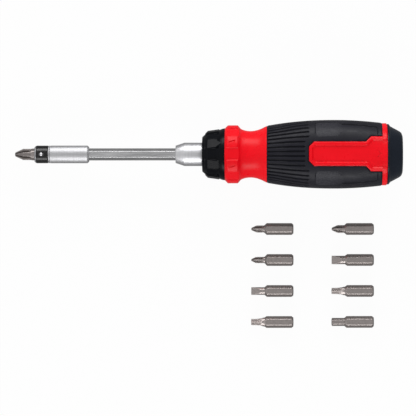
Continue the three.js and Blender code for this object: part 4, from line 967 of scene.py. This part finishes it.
def build_ferrule():
    straight = FERRULE_AT + FERRULE_CONE
    step = FERRULE_END - FERRULE_SPIGOT_LENGTH
    outer = rounded([
        (FERRULE_AT, FERRULE_FACE_INNER), (FERRULE_AT, FERRULE_FRONT), (straight, FERRULE_RADIUS),
        (step, FERRULE_RADIUS), (step, FERRULE_SPIGOT), (FERRULE_END, FERRULE_SPIGOT),
        (FERRULE_END, REAR_FACE_INNER),
    ], FERRULE_ROUND)
    socket = hexagon(SOCKET_FLATS, SOCKET_ROUNDING)
    rings = outer + [(FERRULE_END, socket), (FERRULE_AT, socket)]
    ring_piece("ferrule_sleeve", rings, BIT_SIDES, "drive", "chrome", "ferrule", closed=True)


# Bits: a tip, then a shank that is the lesser of the hexagon and a cone at its shoulder and rear edge
SHOULDER_LENGTH = 2.0
SHOULDER_RADIUS = 4.0
SHANK_RADIUS = 3.8
SHANK_CREASE = 0.08
REAR_EDGE_LENGTH = 1.3
REAR_EDGE_RADIUS = 2.75


def shank_radius(x, degrees, neck, shoulder):
    cone = turned([
        (shoulder, neck), (shoulder + SHOULDER_LENGTH, SHOULDER_RADIUS),
        (BIT_LENGTH - REAR_EDGE_LENGTH, SHANK_RADIUS), (BIT_LENGTH, REAR_EDGE_RADIUS),
    ], x, degrees)
    return soft_min(hexagon(HEX_FLATS, BIT_ROUNDING)(x, degrees), cone, SHANK_CREASE)


# Cross tips: half-angles of a flute from the point back, its shares, and the cone as shares of the neck
FLUTE_ANGLES = (36, 28, 23)
FLUTE_NARROWS_BY = 2.5
FLUTE_FULL_SHARE = 0.82
FLUTE_FLOOR_SHARE = 0.3
FLUTE_DEPTH = 0.54
CROSS_BLUNT = 0.25
CROSS_CONE = 1.35
CROSS_SHARES = (0.16, 0.36, 0.94)


# How deep in one of the four flutes of a cross tip a place is, from none to all
def flute_share(x, degrees, flute_length):
    away = np.abs(from_spoke(degrees, 90, 45))
    wide = np.interp(x, [0, FLUTE_NARROWS_BY, flute_length], FLUTE_ANGLES)
    runs_out = np.interp(x, [0, flute_length * FLUTE_FULL_SHARE, flute_length], [1, 1, 0])
    return runs_out * (1 - smooth(away, wide * FLUTE_FLOOR_SHARE, wide))


def cross_tip(tip, flute_length, shoulder):
    neck = tip / 2
    cone_at = [0, CROSS_BLUNT, neck * CROSS_CONE, shoulder / 2]
    cone_radii = [*(neck * share for share in CROSS_SHARES), neck]

    def radius(x, degrees):
        if x > shoulder:
            return shank_radius(x, degrees, neck, shoulder)
        return np.interp(x, cone_at, cone_radii) * (1 - FLUTE_DEPTH * flute_share(x, degrees, flute_length))
    return radius


# Slotted tips: a round neck ground flat on two sides
SLOT_GROUND_PAST = 0.1
SLOT_LEAST_COSINE = 0.02
SLOT_CORNER = 0.12
SLOT_CREASE = 0.04


def slotted_tip(width, thickness, ground_length, shoulder):
    neck = width / 2

    def radius(x, degrees):
        if x > shoulder:
            return shank_radius(x, degrees, neck, shoulder)
        half = np.interp(x, [0, ground_length], [thickness / 2, neck + SLOT_GROUND_PAST])
        blade = half / np.maximum(np.abs(np.cos(np.radians(degrees))), SLOT_LEAST_COSINE)
        corner = np.interp(x, [0, SLOT_CORNER], [neck - SLOT_CORNER, neck])
        return soft_min(np.full(degrees.shape, corner), blade, SLOT_CREASE)
    return radius


# Star tips: six lobes that fade into a round neck, with shares of the size across them
STAR_LOBES = 6
STAR_POINT_SHARE = 0.47
STAR_ROOT_SHARE = 0.35
STAR_BLUNT = 0.3
STAR_TAPER = 0.05
STAR_FADE_BEFORE_SHOULDER = 0.5


def star_tip(tip, lobe_length, neck_across, shoulder):
    neck = neck_across / 2
    crest_at = [0, STAR_BLUNT, lobe_length, shoulder]
    crest_radii = [tip * STAR_POINT_SHARE, tip / 2, tip / 2 + STAR_TAPER, neck]

    def radius(x, degrees):
        if x > shoulder:
            return shank_radius(x, degrees, neck, shoulder)
        crest = np.interp(x, crest_at, crest_radii)
        fade = 1 - smooth(np.array(float(x)), lobe_length, shoulder - STAR_FADE_BEFORE_SHOULDER)
        hollow = 0.5 - 0.5 * np.cos(np.radians(STAR_LOBES * degrees))
        return crest - (crest - tip * STAR_ROOT_SHARE) * hollow * fade
    return radius


# Hexagon tips: a small hexagon with a chamfered point, running into the shank
HEX_TIP_CORNER_LESS = 0.1
HEX_TIP_NECK_SHARE = 0.95
HEX_TIP_CREASE = 0.05
HEX_TIP_CHAMFER = 0.5
HEX_TIP_POINT_LESS = 0.55
HEX_TIP_FREE = 0.1


def hex_tip(flats, shoulder):
    corner = flats / math.sqrt(3)
    key = hexagon(flats, corner - HEX_TIP_CORNER_LESS)

    def radius(x, degrees):
        if x > shoulder:
            shank = shank_radius(x, degrees, corner * HEX_TIP_NECK_SHARE, shoulder)
            return np.maximum(shank, key(x, degrees))
        point = np.interp(x, [0, HEX_TIP_CHAMFER], [corner - HEX_TIP_POINT_LESS, corner + HEX_TIP_FREE])
        return soft_min(key(x, degrees), np.full(degrees.shape, point), HEX_TIP_CREASE)
    return radius


# Bits by node: the form of the tip, its sizes as that form takes them, and where the shoulder is
BITS = {
    "mounted_bit": (cross_tip, (6.7, 9.7), 9.8),
    "bit_cross_large": (cross_tip, (4.3, 7.6), 7.8),
    "bit_cross_small": (cross_tip, (3.8, 7.6), 8.0),
    "bit_slotted_narrow": (slotted_tip, (4.6, 0.8, 6.0), 8.0),
    "bit_star_large": (star_tip, (4.2, 3.4, 5.5), 8.0),
    "bit_cross_medium": (cross_tip, (4.7, 7.4), 7.6),
    "bit_slotted_wide": (slotted_tip, (5.1, 1.0, 6.4), 8.0),
    "bit_star_small": (star_tip, (4.1, 3.2, 5.2), 8.0),
    "bit_hex": (hex_tip, (4.4,), 7.6),
}

# Painted shade: the tip of the mounted bit is darker all over, by this share of the painted shade of its flutes
MOUNTED_TIP_SHADE = 0.35


# A spare bit lies level where its node is; the bit in the holder follows the driver's axis
def bit_placement(node):
    if node == "mounted_bit":
        return TO_WORLD
    low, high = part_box(node)
    start = Vector((low.x, (low.y + high.y) / 2, (low.z + high.z) / 2))
    return Matrix.Translation(start) @ Matrix.Scale(MM, 4)


# Runs of stations along a bit: at its point, behind its shoulder, along its shank and at its rear edge
POINT_STATIONS = (0, 0.06, 0.12)
TIP_FROM = 0.25
SHOULDER_RUN = (0.06, 2.2)
SHANK_AFTER_SHOULDER = 2.6
SHANK_BEFORE_END = 1.8
REAR_RUN = 1.5


# Stations along a bit, close together at its tip, its shoulder and its rear edge
def bit_stations(shoulder):
    return [
        *POINT_STATIONS,
        *stations(TIP_FROM, shoulder, BIT_TIP_STEP),
        *stations(shoulder + SHOULDER_RUN[0], shoulder + SHOULDER_RUN[1], BIT_EDGE_STEP),
        *stations(shoulder + SHANK_AFTER_SHOULDER, BIT_LENGTH - SHANK_BEFORE_END, BIT_SHANK_STEP),
        *stations(BIT_LENGTH - REAR_RUN, BIT_LENGTH, BIT_EDGE_STEP),
    ]


def build_bits():
    degrees = round_degrees(BIT_SIDES)
    for node, (tip_form, sizes, shoulder) in BITS.items():
        form = tip_form(*sizes, shoulder)
        places = bit_stations(shoulder)
        bit = ring_piece(f"{node}_form", [(x, form) for x in places], BIT_SIDES, node, "bit_steel", node,
                         placement=bit_placement(node))
        # Painted shade in the flutes of cross bits
        if tip_form is cross_tip:
            # Painted shade over the whole tip of the mounted bit, besides its flutes
            tip_shade = MOUNTED_TIP_SHADE if node == "mounted_bit" else 0
            flutes = [flute_share(x, degrees, sizes[1]) for x in places]
            shares = [np.maximum(flute, tip_shade * (x < shoulder)) for x, flute in zip(places, flutes)]
            mark_points(bit, FLUTE_SHADE_MARK, shares)


build_grip()
build_core()
build_panel("panel_top", 0)
build_panel("panel_bottom", 180)
build_selector()
build_cap()
build_holder()
build_shaft()
build_ferrule()
build_bits()

# The remaining nodes keep their shape and take their slot's finish
for part in frame["record"]["subparts"]:
    node = frame["nodes"][part["node"]]
    node.data.materials.clear()
    node.data.materials.append(MATERIALS[part["material_slot"]])

# Floor, white to the camera with a part of the shadows kept, and grey in reflections
FLOOR_SIZE = 6.0
FLOOR_DROP = 0.0001
FLOOR_WHITE = 0.7
FLOOR_ROUGHNESS = 0.9
FLOOR_SPECULAR = 0.1
GLOW_TO_CAMERA = 0.96
GREY_IN_REFLECTIONS = 0.24

# What each kind of ray sees instead of the floor's own finish: share of it, and level
FLOOR_GLOWS = (("Is Camera Ray", GLOW_TO_CAMERA, 1.0), ("Is Glossy Ray", 1.0, GREY_IN_REFLECTIONS))


def floor_material():
    material = bpy.data.materials.new("floor_white")
    material.use_nodes = True
    tree = material.node_tree
    nodes = tree.nodes
    shader = nodes["Principled BSDF"]
    shader.inputs["Base Color"].default_value = (FLOOR_WHITE, FLOOR_WHITE, FLOOR_WHITE, 1)
    shader.inputs["Roughness"].default_value = FLOOR_ROUGHNESS
    shader.inputs["Specular IOR Level"].default_value = FLOOR_SPECULAR
    surface = shader.outputs["BSDF"]
    path = nodes.new("ShaderNodeLightPath")
    for kind, share, level in FLOOR_GLOWS:
        glow = nodes.new("ShaderNodeEmission")
        glow.inputs["Strength"].default_value = level
        amount = nodes.new("ShaderNodeMath")
        amount.operation = "MULTIPLY"
        amount.inputs[1].default_value = share
        mix = nodes.new("ShaderNodeMixShader")
        tree.links.new(path.outputs[kind], amount.inputs[0])
        tree.links.new(amount.outputs["Value"], mix.inputs["Fac"])
        tree.links.new(surface, mix.inputs[1])
        tree.links.new(glow.outputs["Emission"], mix.inputs[2])
        surface = mix.outputs["Shader"]
    tree.links.new(surface, nodes["Material Output"].inputs["Surface"])
    return material


floor_mesh = bpy.data.meshes.new("floor")
edge = FLOOR_SIZE / 2
corners = [(-edge, -edge, 0), (edge, -edge, 0), (edge, edge, 0), (-edge, edge, 0)]
floor_mesh.from_pydata(corners, [], [(0, 1, 2, 3)])
floor_mesh.materials.append(floor_material())
floor = bpy.data.objects.new("floor", floor_mesh)
bpy.context.scene.collection.objects.link(floor)
floor.location.z = -FLOOR_DROP

# World: white to the camera; else a soft grey light, brighter above, beside and at the tip's end
END_LIGHT = 0.1
OVERHEAD_LIGHT = 0.35
SIDE_LIGHT = 0.2
TIP_LIGHT = 0.4
WHITE = (1, 1, 1, 1)
world = bpy.data.worlds.new("studio")
bpy.context.scene.world = world
world.use_nodes = True
tree = world.node_tree
lit = tree.nodes["Background"]
white = tree.nodes.new("ShaderNodeBackground")
choose = tree.nodes.new("ShaderNodeMixShader")
direction = tree.nodes.new("ShaderNodeSeparateXYZ")
tree.links.new(tree.nodes.new("ShaderNodeTexCoord").outputs["Generated"], direction.inputs["Vector"])


# A maths node on a value and a number, and for a sum also on a number or another node's value
def world_math(operation, value, factor, add=0.0):
    node = tree.nodes.new("ShaderNodeMath")
    node.operation = operation
    tree.links.new(value, node.inputs[0])
    node.inputs[1].default_value = factor
    if isinstance(add, float):
        node.inputs[2].default_value = add
    else:
        tree.links.new(add, node.inputs[2])
    return node.outputs["Value"]


upwards = world_math("MAXIMUM", direction.outputs["Z"], 0.0)
sideways = world_math("ABSOLUTE", direction.outputs["Y"], 0.0)
tipwards = world_math("MAXIMUM", world_math("MULTIPLY", direction.outputs["X"], -1.0), 0.0)
strength = world_math("MULTIPLY_ADD", upwards, OVERHEAD_LIGHT, END_LIGHT)
strength = world_math("MULTIPLY_ADD", sideways, SIDE_LIGHT, strength)
strength = world_math("MULTIPLY_ADD", tipwards, TIP_LIGHT, strength)
tree.links.new(strength, lit.inputs["Strength"])
lit.inputs["Color"].default_value = WHITE
white.inputs["Color"].default_value = WHITE
tree.links.new(tree.nodes.new("ShaderNodeLightPath").outputs["Is Camera Ray"], choose.inputs["Fac"])
tree.links.new(lit.outputs["Background"], choose.inputs[1])
tree.links.new(white.outputs["Background"], choose.inputs[2])
tree.links.new(choose.outputs["Shader"], tree.nodes["World Output"].inputs["Surface"])

# Two long softboxes, one on each side of the driver, the far one brighter: place, size and watts
LIGHT_TARGET = Vector((0, 0.03, 0.015))
SOFTBOXES = {
    "softbox_far": ((0, 1.12, 0.5), (1.6, 0.6), 14),
    "softbox_near": ((0, -1.08, 0.58), (1.6, 0.5), 11),
}
for name, (place, size, power) in SOFTBOXES.items():
    lamp = bpy.data.lights.new(name, "AREA")
    lamp.shape = "RECTANGLE"
    lamp.size, lamp.size_y = size
    lamp.energy = power
    box = bpy.data.objects.new(name, lamp)
    box.location = place
    box.rotation_euler = (Vector(place) - LIGHT_TARGET).to_track_quat("Z", "Y").to_euler()
    bpy.context.scene.collection.objects.link(box)

# Camera above, framed as the photograph: places of the driver in its 416 pixels
IMAGE = 416
PIXEL = 0.6 * MM
AXIS_ROW = 154.35
MIDDLE_COLUMN = 208.45
CAMERA_DISTANCE = 3060 * PIXEL
CAMERA_LEAN = math.radians(1.6)
SENSOR = 36
driver_middle = TIP + AXIS * (CAP_END / 2 * MM)
camera_data = bpy.data.cameras.new("camera")
camera_data.sensor_width = SENSOR
camera_data.lens = SENSOR * CAMERA_DISTANCE / (IMAGE * PIXEL)
camera = bpy.data.objects.new("camera", camera_data)
aim = driver_middle + AXIS * ((IMAGE / 2 - MIDDLE_COLUMN) * PIXEL) - SIDE * ((IMAGE / 2 - AXIS_ROW) * PIXEL)
back = TOP * math.cos(CAMERA_LEAN) + AXIS * math.sin(CAMERA_LEAN)
turn = Matrix((SIDE.cross(back), SIDE, back)).transposed().to_4x4()
camera.matrix_world = Matrix.Translation(aim + back * CAMERA_DISTANCE) @ turn
bpy.context.scene.collection.objects.link(camera)
bpy.context.scene.camera = camera
bpy.context.scene.view_settings.view_transform = "Standard"
